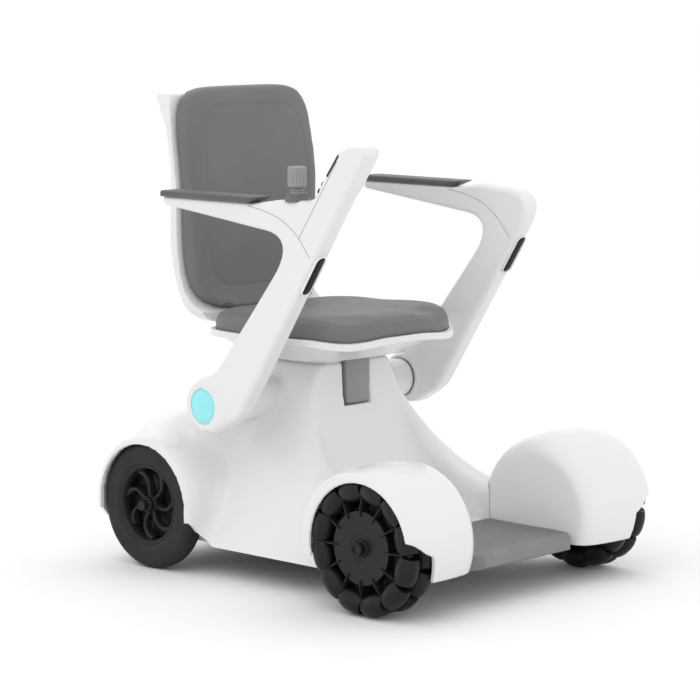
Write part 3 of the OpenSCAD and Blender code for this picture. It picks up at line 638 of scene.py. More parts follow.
def base_field(x, y, z):
    x = np.abs(x)
    body = base_outer(x, y, z)
    arch = arch_outer(x, y, z)
    outer = smooth_min(smooth_min(body, haunch(x, y, z), 60), arch, 46)
    boss = x_disc(x, y, z, PIVOT, BOSS_R, -60, ARM_IN_X - 14, 3)
    outer = smooth_min(outer, boss, 12)
    shaft = np.maximum(slab(x, -80, 80), slab(y, PEDESTAL_FRONT + 27, PEDESTAL_BACK - 10))
    pocket = np.maximum(slab(x, -232, 232), slab(y, LEDGE_REAR + 14, BASE_REAR - 40))
    cavity = np.minimum(shaft, np.maximum(pocket, z - 150))
    cavity = np.maximum(cavity, body + BASE_WALL)
    solid = np.maximum(outer, -cavity)
    well = np.maximum(arch + BASE_WALL, WELL_IN_X - x)
    mouth = x_disc(x, y, z, REAR_WHEEL, REAR_R - 6, ARCH_OUT_X - 30, ARCH_OUT_X + 40, 1)
    hem = 84 + 22 * smooth_step(x, ARCH_OUT_X - 32, ARCH_OUT_X - 4)
    start = REAR_WHEEL[1] - ARCH_R
    hem = SILL + (hem - SILL) * smooth_step(y, start - 26, start + 14)
    under = np.maximum(WELL_IN_X - x, z - hem)
    solid = smooth_max(solid, -np.minimum(np.minimum(well, mouth), under), 4)
    solid = smooth_max(solid, 0.8 - fender_outer(x, y, z), 1.5)
    slot = np.maximum(np.maximum(slab(x, -36, 36), PEDESTAL_FRONT - 60 - y),
                      np.maximum(y - PEDESTAL_FRONT - 15, SLOT_LOW - z))
    solid = smooth_max(solid, -slot, 7)
    socket = np.maximum(np.hypot(x, z - SOCKET[2]) - 14.6, SHELL_HIGH[1] - 160 - y)
    solid = np.maximum(solid, -socket)
    ledge = np.maximum(np.maximum(x - SHOULDER_IN - 0.5, z - COVER_HIGH[2] - 0.5),
                       y - LEDGE_REAR - 10)
    return np.maximum(np.maximum(solid, SILL + 1 - z), -ledge)


points, faces = polygonise(base_field, (-ARCH_OUT_X - 12, FENDER_LOW[1] - 10, SILL - 12),
                           (ARCH_OUT_X + 12, SHELL_HIGH[1] + 12, PEDESTAL_TOP + 12), BASE_CELL)
base_body = make("base_body", points, faces, WHITE, "chassis",
                 ["base_shell", "arm_pivot_left", "arm_pivot_right"], "white_shell")


# ---------------------------------------------------------------- front fenders

def fender_field(x, y, z):
    r = np.hypot(y - FRONT_WHEEL[1], z - FRONT_WHEEL[2])
    outer = fender_outer(x, y, z)
    wall = 7.2 - 1.2 * smooth_step(x, X_OUT - 60, X_OUT - 20)
    inner = np.maximum(outer + wall, r - FRONT_R - 8)
    solid = np.maximum(outer, -inner)
    mouth = np.maximum(r - FRONT_R + 8, X_OUT - 24 - x)
    solid = smooth_max(solid, -mouth, 5)
    lip = smooth_step(x, X_OUT - 66, X_OUT - 56) * (50 + 28 * smooth_step(x, X_OUT - 60, X_OUT))
    ahead = smooth_step(FRONT_WHEEL[1] - y, 30, 70)
    behind = smooth_step(y - FRONT_WHEEL[1], 40, 80)
    inside = smooth_step(x, FENDER_IN_X + 8, FENDER_IN_X + 22)
    cut = 74 + lip * ahead + behind * inside * 24
    return smooth_max(solid, (cut - z) * 0.8, 3)


points, faces = polygonise(fender_field,
                           (FENDER_IN_X - 8, FENDER_LOW[1] - 8, 50),
                           (X_OUT + 8, FENDER_HIGH[1] + 8, FENDER_HIGH[2] + 8), 3.1)
for side, hand in ((1, "left"), (-1, "right")):
    make(f"fender_{hand}", *mirrored(points, faces, side), WHITE, "chassis",
         [f"front_fender_{hand}"], "white_shell")


# ---------------------------------------------------------------- ledge and footplate

def grid_solid(xs, ys, top, bottom):
    """A closed solid between two height functions over a grid of x and y lines."""
    xs, ys = np.asarray(xs, float), np.asarray(ys, float)
    gx, gy = np.meshgrid(xs, ys, indexing="ij")
    nx, ny = gx.shape
    upper = np.stack([gx, gy, top(gx, gy)], 2).reshape(-1, 3)
    lower = np.stack([gx, gy, bottom(gx, gy)], 2).reshape(-1, 3)
    faces = []
    for i in range(nx - 1):
        for j in range(ny - 1):
            a, b = i * ny + j, (i + 1) * ny + j
            faces.append((a, b, b + 1, a + 1))
            faces.append((a + nx * ny, a + 1 + nx * ny, b + 1 + nx * ny, b + nx * ny))
    rim = [i * ny for i in range(nx)] + [(nx - 1) * ny + j for j in range(1, ny)]
    rim += [i * ny + ny - 1 for i in range(nx - 2, -1, -1)] + [j for j in range(ny - 2, 0, -1)]
    for a, b in zip(rim, rim[1:] + rim[:1]):
        faces.append((b, a, a + nx * ny, b + nx * ny))
    return np.vstack([upper, lower]), faces


def ledge_top(x, y):
    """The ledge climbs gently from the footplate and sweeps up into the base's front."""
    rise = smooth_step(y, COVER_LOW[1], COVER_HIGH[1])
    return COVER_HIGH[2] + 22 * rise * rise + 10 * smooth_step(np.abs(x), 70, 150) * rise


ledge_x = np.linspace(-SHOULDER_IN - 1, SHOULDER_IN + 1, 61)
ledge_y = np.linspace(COVER_LOW[1] + 0.5, FOOT_WALL_Y + 14, 38)
make("front_ledge", *grid_solid(ledge_x, ledge_y, ledge_top, lambda x, y: x * 0 + SILL + 36),
     WHITE, "chassis", ["front_cover"], "white_shell", sharp=35)

RIB_COUNT = 15
RIB_FRONT = FOOT_LOW[1] + 34
RIB_REAR = FOOT_HIGH[1] - 8


def plate_half(y):
    """Half width of the footplate, whose front corners are cut off and rounded."""
    back = np.maximum(FOOT_LOW[1] + 34 - y, 0)
    return FENDER_IN_X - 1 - back * 0.95


def scoop(x, y):
    """A shallow heel dish in the front edge; 0 outside it, 1 in its middle."""
    reach = np.hypot((x + 20) / 78, (y - FOOT_LOW[1] + 6) / 46)
    return 1 - smooth_step(reach, 0.82, 1.0)


def plate_top(x, y):
    pitch = (RIB_REAR - RIB_FRONT) / RIB_COUNT
    wave = np.abs(((y - RIB_FRONT) / pitch) % 1 - 0.5) * 2
    ribbed = smooth_step(y, RIB_FRONT - 3, RIB_FRONT) * (1 - smooth_step(y, RIB_REAR, RIB_REAR + 3))
    ribbed = ribbed * (1 - smooth_step(np.abs(x), FENDER_IN_X - 14, FENDER_IN_X - 10))
    groove = smooth_step(wave, 0.35, 0.62) * ribbed
    edge = np.minimum(y - FOOT_LOW[1], 40)
    nose = 5 * (1 - np.clip(edge / 10, 0, 1)) ** 2
    side = np.clip((plate_half(y) - np.abs(x)) / 4, 0, 1)
    round_off = 2.5 * (1 - side) ** 2 * smooth_step(RIB_FRONT - y, -30, 0)
    dish = scoop(x, y)
    return FOOT_HIGH[2] - 1.8 * groove * (1 - dish) - nose - round_off - 3.2 * dish


def plate_bottom(x, y):
    front = np.clip((y - FOOT_LOW[1]) / 12, 0, 1)
    return FOOT_LOW[2] + 5 * (1 - front) ** 2


pitch = (RIB_REAR - RIB_FRONT) / RIB_COUNT
plate_y = list(np.linspace(FOOT_LOW[1], RIB_FRONT - 3, 14))
for i in range(RIB_COUNT):
    plate_y += [RIB_FRONT + (i + s) * pitch for s in (0, 0.17, 0.24, 0.33, 0.5, 0.67, 0.76, 0.83)]
plate_y += [RIB_REAR, RIB_REAR + 3, FOOT_HIGH[1]]
across = np.concatenate([np.linspace(-1, -0.9, 9), np.linspace(-0.88, 0.88, 75),
                         np.linspace(0.9, 1, 9)])


def footplate_mesh():
    points, faces = grid_solid(across, plate_y, lambda x, y: x * 0, lambda x, y: x * 0)
    y = points[:, 1]
    x = points[:, 0] * plate_half(y)
    upper = np.arange(len(points)) < len(points) // 2
    z = np.where(upper, plate_top(x, y), plate_bottom(x, y))
    return np.stack([x, y, z], 1), faces


make("footplate_tread", *footplate_mesh(), FOOTPLATE, "chassis", ["footplate"],
     "footplate_grey", sharp=50)


# ---------------------------------------------------------------- arms

def slope_line(a, b, value, axis):
    """The point on the line through a and b where one coordinate has the given value."""
    t = (value - a[axis]) / (b[axis] - a[axis])
    return tuple(a[k] + (b[k] - a[k]) * t for k in (0, 1))


ARM_FACE_X = ARM_OUT_X - 4.5
REST_TOP = PAD_LOW[2]
FRONT_LINE = ((41, 344), (-169, 672))
BEAM_REAR = ((121, 402), (-27, 587))
REST_REAR = PAD_HIGH[1]
LEFT_TOP = [(*slope_line(*FRONT_LINE, REST_TOP - 3, 1), 86), (-51, REST_TOP + 10, 12)]
RIGHT_TOP = [(-192, 710, 30), (-279, 840, 27), (-212, 840, 29), (-138, 738, 22),
             (-51, REST_TOP + 10, 12)]


def arm_outline(top):
    return fillet([(122, 296, 0), (62, 312, 30)] + top + [
        (26, REST_TOP - 2, 8), (34, REST_TOP, 2), (REST_REAR, REST_TOP, 5),
        (REST_REAR, REST_TOP - 16, 9), (69, 687, 40), (-92, 667, 96), (118, 404, 60),
        (150, 376, 0)], 10)


def arm_field(outline, inner_ring=True):
    """The arm as a rounded plate on a hub, with a proud ring round its light."""
    def field(x, y, z):
        x = np.abs(x)
        flat = polygon_distance(y, z, outline)
        near_rest = smooth_step(y, -70, 40) * smooth_step(z, 640, 680)
        near_console = smooth_step(z, 742, 775)
        rounding = 10 - 3 * near_rest - 6 * near_console
        across = slab(x, ARM_IN_X, ARM_FACE_X)
        beam = round_join(flat, across, rounding)
        r = np.hypot(y - PIVOT[1], z - PIVOT[2])
        hub = round_join(r - HUB_R, slab(x, ARM_IN_X, ARM_FACE_X), 7)
        solid = smooth_min(beam, hub, 34)
        boss = round_join(r - (HUB_R - 3), slab(x, ARM_OUT_X - 12, ARM_OUT_X), 2.5)
        solid = np.minimum(solid, boss)
        collar = round_join(r - (HUB_R - 4), slab(x, ARM_IN_X - 12, ARM_IN_X + 6), 3)
        solid = smooth_min(solid, collar, 6)
        bore = np.maximum(r - BOSS_R - 1.5, x - ARM_IN_X)
        solid = np.maximum(solid, -bore)
        recess = np.maximum(r - LIGHT_R - 0.6, ARM_OUT_X - 3.2 - x)
        solid = np.maximum(solid, -recess)
        return np.maximum(solid, -lamp_pocket(x, y, z))
    return field


LAMP = middle("lamp_lens_left")
LAMP_CENTRE = np.array([ARM_MID_X, -123.8, 600])
LAMP_LEAN = math.radians(122.6)
LAMP_UP = np.array([0, math.cos(LAMP_LEAN), math.sin(LAMP_LEAN)])
LAMP_OUT = np.array([0, -math.sin(LAMP_LEAN), math.cos(LAMP_LEAN)])


def lamp_pocket(x, y, z):
    """The slot that a lamp sits in, in the front face of a beam."""
    up = (y - LAMP_CENTRE[1]) * LAMP_UP[1] + (z - LAMP_CENTRE[2]) * LAMP_UP[2]
    out = (y - LAMP_CENTRE[1]) * LAMP_OUT[1] + (z - LAMP_CENTRE[2]) * LAMP_OUT[2]
    pill = np.hypot(x - ARM_MID_X, np.maximum(np.abs(up) - 32, 0)) - 11
    return np.maximum(pill, -5 - out)


ARM_LOW = (ARM_IN_X - 18, -292, 276)
ARM_HIGH = (ARM_OUT_X + 8, REST_REAR + 8, 0)
for side, hand, top, height in ((1, "left", LEFT_TOP, 750), (-1, "right", RIGHT_TOP, 852)):
    points, faces = polygonise(arm_field(arm_outline(top)), ARM_LOW,
                               (ARM_HIGH[0], ARM_HIGH[1], height), 3.2)
    nodes = [f"arm_beam_{hand}"] + (["console_housing"] if side < 0 else [])
    make(f"arm_{hand}", *mirrored(points, faces, side), WHITE, f"arm_{hand}", nodes,
         "white_shell")


# ---------------------------------------------------------------- lights on the arms

def lamp_point(across, up, out):
    return (LAMP_CENTRE + np.array([1.0, 0, 0]) * across + LAMP_UP * up + LAMP_OUT * out)


def pill(half_w, half_l, steps=12):
    """A slot outline with round ends, as (across, up) rows."""
    line = []
    for end in (1, -1):
        for k in range(steps + 1):
            a = math.pi * k / steps
            line.append((end * half_w * math.cos(a), end * (half_l - half_w + half_w * math.sin(a))))
    return line


def lamp_ring(rows):
    """A ring or lens between pill outlines of (half width, half length, height)."""
    return [np.array([lamp_point(a, u, out) for a, u in pill(w, l)]) for w, l, out in rows]


def lamp_meshes():
    bezel = loft(lamp_ring([(11.4, 43, -4), (13.2, 45, -1), (13.6, 45.4, 1.0), (13.0, 44.8, 2.8),
                            (11.8, 43.6, 3.3), (10.8, 42.6, 2.7), (10.2, 42, 1.0),
                            (10.0, 41.8, -4)]), False, False)
    count = len(pill(1, 2))
    points, faces = bezel
    last = len(points) - count
    faces = faces + [(last + k, last + (k + 1) % count, (k + 1) % count, k) for k in range(count)]
    lens = loft(lamp_ring([(10.1, 41.9, -3.8), (10.1, 41.9, 0.2), (9.5, 41.3, 1.2),
                           (7.6, 39.4, 1.6)]))
    domes = []
    for i in range(6):
        centre = (i - 2.5) * 12.6
        rings = []
        for r, out in ((5.6, 0.6), (5.4, 2.1), (4.6, 2.6), (4.0, 2.2), (3.4, 1.9), (2.0, 2.6),
                       (0.6, 2.9)):
            rings.append([lamp_point(r * math.cos(a), centre + r * math.sin(a), out)
                          for a in np.linspace(0, 2 * math.pi, 20, endpoint=False)])
        domes.append(loft([np.array(r) for r in rings]))
    return (points, faces), lens, joined(domes)


bezel, lens, domes = lamp_meshes()
light_profile = [(ARM_OUT_X - 3.1, 0), (ARM_OUT_X - 3.1, LIGHT_R - 0.4)]
light_profile = round_profile([(-3.0, 0, 0), (-3.0, LIGHT_R, 0.4), (-0.6, LIGHT_R, 1.0),
                               (-0.6, LIGHT_R - 3.4, 0.8), (-1.4, LIGHT_R - 4.4, 0.5),
                               (0.3, LIGHT_R - 6, 0.8), (0.5, LIGHT_R * 0.4, 3), (0.55, 0, 0)])
for side, hand in ((1, "left"), (-1, "right")):
    body = f"arm_{hand}"
    centre = (ARM_OUT_X, PIVOT[1], PIVOT[2])
    make(f"arm_light_{hand}", *mirrored(*lathe(light_profile, centre, 96), side), TEAL, body,
         [f"hub_light_{hand}"], "teal_light")
    make(f"lamp_rim_{hand}", *mirrored(*bezel, side), WHITE, body, [f"lamp_bezel_{hand}"],
         "white_shell")
    make(f"lamp_glass_{hand}", *mirrored(*lens, side), LENS, body, [f"lamp_lens_{hand}"],
         "lamp_lens")
    make(f"lamp_leds_{hand}", *mirrored(*domes, side), NYLON, body, (), "lamp_lens")


def seam(line, radius=0.6):
    """A thin parting line that lies in a surface, along points of (x, y, z)."""
    return tube(curve_through(line, 6), radius, 6)


arm_seam = [(28, 720), (-12, 714), (-60, 699), (-100, 672), (-132, 634)]
console_seam = [(-104, 668), (-130, 707), (-160, 752), (-200, 812)]
for side, hand in ((1, "left"), (-1, "right")):
    lines = [seam([(x, y, z) for y, z in arm_seam]) for x in (ARM_FACE_X, ARM_IN_X)]
    if side < 0:
        lines += [seam([(x, y, z) for y, z in console_seam]) for x in (ARM_FACE_X, ARM_IN_X)]
    make(f"arm_seam_{hand}", *mirrored(*joined(lines), side), GAP, f"arm_{hand}", (),
         "white_shell")


# ---------------------------------------------------------------- arm pads

def pad_field(x, y, z):
    """A moulded pad that thins to a slanted tip where the arm's top rises to meet it."""
    top = PAD_HIGH[2] - 4 * smooth_step(40 - y, 0, 70)
    ramp = REST_TOP - 2 + 12 * (29 - y) / 80
    long = fillet([(PAD_HIGH[1], REST_TOP - 0.5, 1), (PAD_HIGH[1] + 1, PAD_HIGH[2] - 2, 9),
                   (PAD_LOW[1] - 24, PAD_HIGH[2] - 1.5, 6), (PAD_LOW[1] + 9, REST_TOP - 0.5, 1)], 8)
    flat = polygon_distance(y, z, long)
    crown = (np.abs(x - ARM_MID_X) / 25) ** 2 * 1.2
    half = ARM_HALF + 3.2
    body = round_join(flat, np.abs(x - ARM_MID_X) - half, 5.5)
    return smooth_max(body, z + crown - PAD_HIGH[2] + 0.2, 3)


points, faces = polygonise(pad_field, (ARM_IN_X - 10, PAD_LOW[1] - 40, REST_TOP - 8),
                           (ARM_OUT_X + 10, PAD_HIGH[1] + 10, PAD_HIGH[2] + 8), 2.4)
for side, hand in ((1, "left"), (-1, "right")):
    pad = make(f"arm_cushion_{hand}", *mirrored(points, faces, side), PAD, f"arm_{hand}",
               [f"arm_pad_{hand}"], "pad_grey", sharp=60)


# ---------------------------------------------------------------- drive wheels

def rear_wheel_meshes():
    """Tyre, rim with curved spokes and hub cap of the left drive wheel."""
    c, half = REAR_WHEEL, TYRE_W / 2
    tyre = round_profile([
        (-half + 4, RIM_R, 0), (-half + 1, RIM_R + 4, 3), (-half, RIM_R + 8, 3),
        (-half, REAR_R - 11, 6), (-half + 9, REAR_R - 0.4, 9), (0, REAR_R, 10),
        (half - 9, REAR_R - 0.4, 9), (half, REAR_R - 11, 6), (half, RIM_R + 8, 3),
        (half - 1, RIM_R + 4, 3), (half - 4, RIM_R, 0)], 8)
    tyre = lathe(tyre, c, 144, closed=True)
    rim = round_profile([
        (-half + 3, RIM_R - 1, 0), (-half + 2, RIM_R - 4, 2), (-half + 6, RIM_R - 9, 4),
        (half - 16, RIM_R - 11, 6), (half - 5, RIM_R - 7, 3), (half - 2.5, RIM_R - 3, 2),
        (half - 3.5, RIM_R + 0.5, 1), (half - 6, RIM_R + 0.2, 1), (-half + 5, RIM_R + 0.2, 2)], 5)
    parts = [lathe(rim, c, 120, closed=True)]
    barrel = round_profile([(-half + 3, 9, 0), (-half + 3, 18, 3), (-2, 20, 6), (half - 12, 17, 4),
                            (half - 9, 15, 2), (half - 9, 9, 0)], 5)
    parts.append(lathe(barrel, c, 60, closed=True))
    disc = round_profile([(-half + 9, 12, 0), (-half + 9, RIM_R - 8, 0), (-half + 12, RIM_R - 8, 0),
                          (-half + 12, 12, 0)], 2)
    parts.append(lathe(disc, c, 96, closed=True))
    for i in range(7):
        line = curve_through([(half - 12, 12, 0), (half - 9.5, 26, -5), (half - 9, 42, -3),
                              (half - 9.5, 56, 6), (half - 11.5, RIM_R - 8, 20)], 6)
        parts.append(spoke(line, i * 360 / 7 + 8))
    cap = round_profile([(half - 10, 0, 0), (half - 10, 15, 1), (half - 2, 14.5, 1.5),
                         (half + 1, 12.5, 1), (half + 1, 10.8, 0.8), (half + 12, 10.2, 1.2),
                         (half + 13.5, 8.6, 1), (half + 12.6, 7.4, 0.6), (half + 12.4, 0, 0)], 5)
    return tyre, joined(parts), lathe(cap, c, 48)


def spoke(line, angle):
    """A rib along (x, radius, degrees) points: narrow in front, deep behind."""
    rings = []
    path = []
    for x, r, turn in line:
        a = math.radians(angle + turn)
        path.append(np.array([REAR_WHEEL[0] + x, REAR_WHEEL[1] + r * math.sin(a),
                              REAR_WHEEL[2] + r * math.cos(a)]))
    path = np.array(path)
    along = np.gradient(path, axis=0)
    for k, (p, d) in enumerate(zip(path, along)):
        d = d / np.linalg.norm(d)
        front = np.array([1.0, 0, 0])
        across = np.cross(front, d)
        across /= np.linalg.norm(across)
        t = k / (len(path) - 1)
        w = 4.2 + 3.5 * (abs(t - 0.45) * 2) ** 2
        section = [(-w, -15), (-w * 0.8, -3), (-w * 0.62, -0.9), (-w * 0.3, 0), (w * 0.3, 0),
                   (w * 0.62, -0.9), (w * 0.8, -3), (w, -15)]
        rings.append(np.array([p + across * u + front * v for u, v in section]))
    points, faces = loft(rings)
    return points, [f[::-1] for f in faces]


tyre, rim, cap = rear_wheel_meshes()
for side, hand in ((1, "left"), (-1, "right")):
    body = f"rear_wheel_{hand}"
    make(f"drive_tyre_{hand}", *mirrored(*tyre, side), TYRE, body, [f"rear_tyre_{hand}"],
         "tyre_rubber")
    make(f"drive_rim_{hand}", *mirrored(*rim, side), NYLON, body, [f"rear_rim_{hand}"],
         "wheel_black")
    make(f"drive_cap_{hand}", *mirrored(*cap, side), NYLON, body, [f"rear_cap_{hand}"],
         "wheel_black")


# ---------------------------------------------------------------- omni wheels

ROLLERS = 12
ROLLER_R = (box("omni_rollers_outer_left")[1][0] - box("omni_rollers_outer_left")[0][0]) / 2
ROW_X = box("omni_rollers_outer_left")[0][0] + ROLLER_R - FRONT_WHEEL[0]
ROLLER_SIZE = ROLLER_R + 4
ROW_OFF = ROW_X + 2.5
RING_R = FRONT_R - ROLLER_SIZE


def roller():
    """One barrel along Y, whose side follows the wheel's outline, with recessed ends."""
    half = RING_R * math.tan(math.pi / ROLLERS) - 2.5
    rows = [(0, -half + 6), (7.5, -half + 6), (9, -half + 1)]
    for t in np.linspace(-1, 1, 15):
        at = half * t
        radius = math.sqrt(FRONT_R ** 2 - at * at) - RING_R
        rows.append((radius - 2.4 * abs(t) ** 3, at))
    rows += [(9, half - 1), (7.5, half - 6), (0, half - 6)]
    profile = [(y, max(r, 0)) for r, y in rows]
    points, faces = lathe(profile, (0, 0, 0), 28)
    return points[:, [1, 0, 2]], [f[::-1] for f in faces]


def omni_meshes():
    c = FRONT_WHEEL
    base = roller()
    rows = []
    for row in (1, -1):
        ring = []
        for i in range(ROLLERS):
            p = base[0] + np.array([c[0] + row * ROW_OFF, c[1], c[2] + RING_R])
            turn = (i + (0.5 if row > 0 else 0)) * 360 / ROLLERS
            ring.append(turned(p, base[1], turn, c))
        rows.append(joined(ring))
    half = ROW_X + ROLLER_R
    core = RING_R - ROLLER_SIZE - 7
    drum = round_profile([(-half + 4, 10.2, 0), (-half + 4, core - 4, 3), (-half + 8, core, 2),
                          (8, core, 2), (10, core - 12, 3), (half - 10, core - 14, 3),
                          (half - 6, 58, 0.5), (half - 5.5, 66.5, 1), (half - 3.2, 68, 1.2),
                          (half - 2.4, 66, 1.2), (half - 2.8, 40, 6), (half - 3.4, 26, 1),
                          (half - 4.6, 25, 0.6), (half - 4.8, 17, 1), (half - 6, 16, 0.6),
                          (half - 6, 10.2, 0)], 4)
    parts = [lathe(drum, c, 108, closed=True)]
    for row in (1, -1):
        for i in range(ROLLERS):
            turn = (i + (0.5 if row > 0 else 0) + 0.5) * 360 / ROLLERS
            parts.append(turned(*fin(row), turn, c))
            parts.append(turned(*pin(row), turn, c))
    cap = round_profile([(half - 5.4, 0, 0), (half - 5.4, 15.5, 1), (half - 3.6, 15, 0.8),
                         (half - 3.2, 12.6, 0.6), (half + 9, 12.2, 2), (half + 11, 10, 1),
                         (half + 10.4, 8.4, 0.6), (half + 7.5, 7.8, 0.5), (half + 7.2, 0, 0)], 5)
    return rows, joined(parts), lathe(cap, c, 48)


def fin(row):
    """A thin web that carries the ends of two rollers, waisted and rounded at its tip."""
    c = FRONT_WHEEL
    foot, tip = RING_R - ROLLER_SIZE - 24, RING_R + 7
    outline = fillet([(-12, foot, 0), (17, foot, 0), (15, foot + 22, 8), (8, RING_R - 6, 3),
                      (9, tip, 7), (-9, tip, 7), (-8, RING_R - 6, 3), (-9, foot + 10, 6)], 4)
    rings = []
    for y, grow in ((-1.4, 0.94), (-1.0, 1), (1.0, 1), (1.4, 0.94)):
        rings.append(np.array([(c[0] + row * (ROW_OFF + u * grow), c[1] + y, c[2] + v)
                               for u, v in outline]))
    points, faces = loft(rings)
    return points, [f[::-1] for f in faces]


def pin(row):
    """The stub that the rollers turn on, through the fin."""
    c = FRONT_WHEEL
    points, faces = lathe([(-6, 0), (-6, 3), (6, 3), (6, 0)], (0, 0, 0), 14)
    points = points[:, [1, 0, 2]] + np.array([c[0] + row * ROW_OFF, c[1], c[2] + RING_R])
    return points, [f[::-1] for f in faces]


rows, drum, cap = omni_meshes()
for side, hand in ((1, "left"), (-1, "right")):
    body = f"front_wheel_{hand}"
    for name, ring in (("outer", rows[0]), ("inner", rows[1])):
        make(f"rollers_{name}_{hand}", *mirrored(*ring, side), ROLLER, body,
             [f"omni_rollers_{name}_{hand}"], "roller_rubber", sharp=45)
    make(f"omni_drum_{hand}", *mirrored(*drum, side), NYLON, body, [f"omni_hub_{hand}"],
         "wheel_black")
    make(f"omni_nut_{hand}", *mirrored(*cap, side), NYLON, body, [f"omni_cap_{hand}"],
         "wheel_black")


# ---------------------------------------------------------------- cushions

def inflate(piece, pressure, cap, pinned=None, frames=20):
    """Lets the cushion swell under Blender's cloth, holding each point within cap metres."""
    mesh = piece.data
    rest = np.array([v.co for v in mesh.vertices])
    if pinned is not None:
        group = piece.vertex_groups.new(name="pinned")
        for i in np.nonzero(pinned)[0]:
            group.add([int(i)], 1.0, "REPLACE")
    cloth = piece.modifiers.new("swell", "CLOTH")
    settings = cloth.settings
    settings.quality = 5
    settings.mass = 0.25
    settings.tension_stiffness = settings.compression_stiffness = 16
    settings.shear_stiffness = 8
    settings.bending_stiffness = 6
    settings.use_pressure = True
    settings.uniform_pressure_force = pressure
    settings.effector_weights.gravity = 0
    if pinned is not None:
        settings.vertex_group_mass = "pinned"
    cloth.point_cache.frame_start, cloth.point_cache.frame_end = 1, frames
    scene = bpy.context.scene
    for number in range(1, frames + 1):
        scene.frame_set(number)
    graph = bpy.context.evaluated_depsgraph_get()
    swollen = piece.evaluated_get(graph).to_mesh()
    now = np.array([v.co for v in swollen.vertices])
    piece.evaluated_get(graph).to_mesh_clear()
    piece.modifiers.remove(cloth)
    scene.frame_set(1)
    move = relaxed(mesh, now - rest, 40)
    far = np.linalg.norm(move, axis=1, keepdims=True)
    move *= np.minimum(1, cap / np.maximum(far, 1e-9))
    for v, p in zip(mesh.vertices, rest + move):
        v.co = p
    if pinned is not None:
        piece.vertex_groups.clear()


def relaxed(mesh, values, rounds, share=0.5):
    """One vector for each vertex, evened out with its neighbours round after round."""
    edges = np.array([e.vertices[:] for e in mesh.edges])
    number = np.bincount(edges.ravel(), minlength=len(values))[:, None]
    for _ in range(rounds):
        total = np.zeros_like(values)
        np.add.at(total, edges[:, 0], values[edges[:, 1]])
        np.add.at(total, edges[:, 1], values[edges[:, 0]])
        values = values + (total / number - values) * share
    return values


def smooth_points(piece, rounds):
    """Relaxes the mesh a little, which takes the grid out of a simulated cushion."""
    mesh = piece.data
    points = relaxed(mesh, np.array([v.co for v in mesh.vertices]), rounds)
    mesh.vertices.foreach_set("co", points.ravel())
    mesh.update()


def subdivide(piece, levels=1):
    modifier = piece.modifiers.new("finer", "SUBSURF")
    modifier.levels = modifier.render_levels = levels
    graph = bpy.context.evaluated_depsgraph_get()
    finer = bpy.data.meshes.new_from_object(piece.evaluated_get(graph))
    piece.modifiers.remove(modifier)
    old = piece.data
    piece.data = finer
    finer.name = piece.name
    bpy.data.meshes.remove(old)
    finer.polygons.foreach_set("use_smooth", [True] * len(finer.polygons))


def press_line(piece, distance, depth, width):
    """Sinks a soft channel into the mesh where distance(x, y, z), in millimetres, is 0."""
    mesh = piece.data
    p = np.array([v.co for v in mesh.vertices])
    n = np.array([v.normal for v in mesh.vertices])
    d = distance(*(p.T * 1000))
    p -= n * (depth / 1000 * np.exp(-(d / width) ** 2))[:, None]
    mesh.vertices.foreach_set("co", p.ravel())
    mesh.update()


SEAT_HALF = (SEAT_HIGH[0] - SEAT_LOW[0]) / 2
SEAT_MID_Y = (SEAT_HIGH[1] + SEAT_LOW[1]) / 2
SEAT_HALF_Y = (SEAT_HIGH[1] - SEAT_LOW[1]) / 2


def seat_outline(x, y, grow):
    """Distance to the seat's outline in plan: round in front, straighter behind."""
    a = SEAT_HALF + grow
    b = SEAT_HALF_Y + grow
    v = y - SEAT_MID_Y
    power = 3.4 + 2.6 * smooth_step(v, 0, SEAT_HALF_Y)
    narrow = a - 4 * smooth_step(v, 0, b)
    r = (np.abs(x / narrow) ** power + np.abs(v / b) ** power + 1e-9) ** (1 / power)
    return (r - 1) * np.hypot(x, v) / (r + 1e-9)


def seat_saddle(x, y):
    """How the seat's rim rises and falls along its depth."""
    v = (y - SEAT_LOW[1]) / (SEAT_HIGH[1] - SEAT_LOW[1])
    wave = 2.0 * np.exp(-((v - 0.33) / 0.2) ** 2) - 1.2 * np.exp(-((v - 0.68) / 0.22) ** 2)
    nose = -11 * smooth_step(0.2 - v, 0, 0.22)
    return (wave + nose) * smooth_step(np.abs(x), 40, 150) + nose * 0.35


def seat_field(x, y, z):
    rim = seat_saddle(x, y)
    low = PAN_HIGH[2] - 3 + rim * 0.7
    crown = SEAT_HIGH[2] - 9 + rim
    dish = 5 * np.exp(-(x / 120) ** 2 - ((y - SEAT_MID_Y - 40) / 110) ** 2)
    side = seat_outline(x, y, -5)
    bulge = smooth_max(side, (z - crown + dish) * 0.97, 20)
    return round_join(bulge, low - z, 7)


points, faces = polygonise(seat_field, (SEAT_LOW[0] - 8, SEAT_LOW[1] - 8, PAN_HIGH[2] - 26),
                           (SEAT_HIGH[0] + 8, SEAT_HIGH[1] + 8, SEAT_HIGH[2] + 12), 6.0)
seat = make("seat_pad", points, faces, CUSHION, "seat", ["seat_cushion"], "cushion_grey", sharp=0)
height = np.array([v.co.z for v in seat.data.vertices]) * 1000
inflate(seat, 2.4, 0.004, height < PAN_HIGH[2] + 10)
smooth_points(seat, 4)
subdivide(seat)
press_line(seat, lambda x, y, z: seat_outline(x, y, -17) + np.where(z > SEAT_HIGH[2] - 26, 0, 99),
           0.9, 3.0)


# Side view of the back: its front line, and how far back its shell reaches, as (y, z)
BACK_FRONT = [(290, 490), (318, 510), (334, 546), (340, 622), (342, 731), (348, 790), (357, 844),
              (369, 930)]
CUSHION_T = 40
BACK_TOP = box("back_shell")[1][2]
BACK_HALF = box("back_shell")[1][0]
BACK_LOW_Z = 490


def back_line(z):
    y, height = np.array(BACK_FRONT, float).T
    line = curve_through(BACK_FRONT, 6)
    return np.interp(z, line[:, 1], line[:, 0])


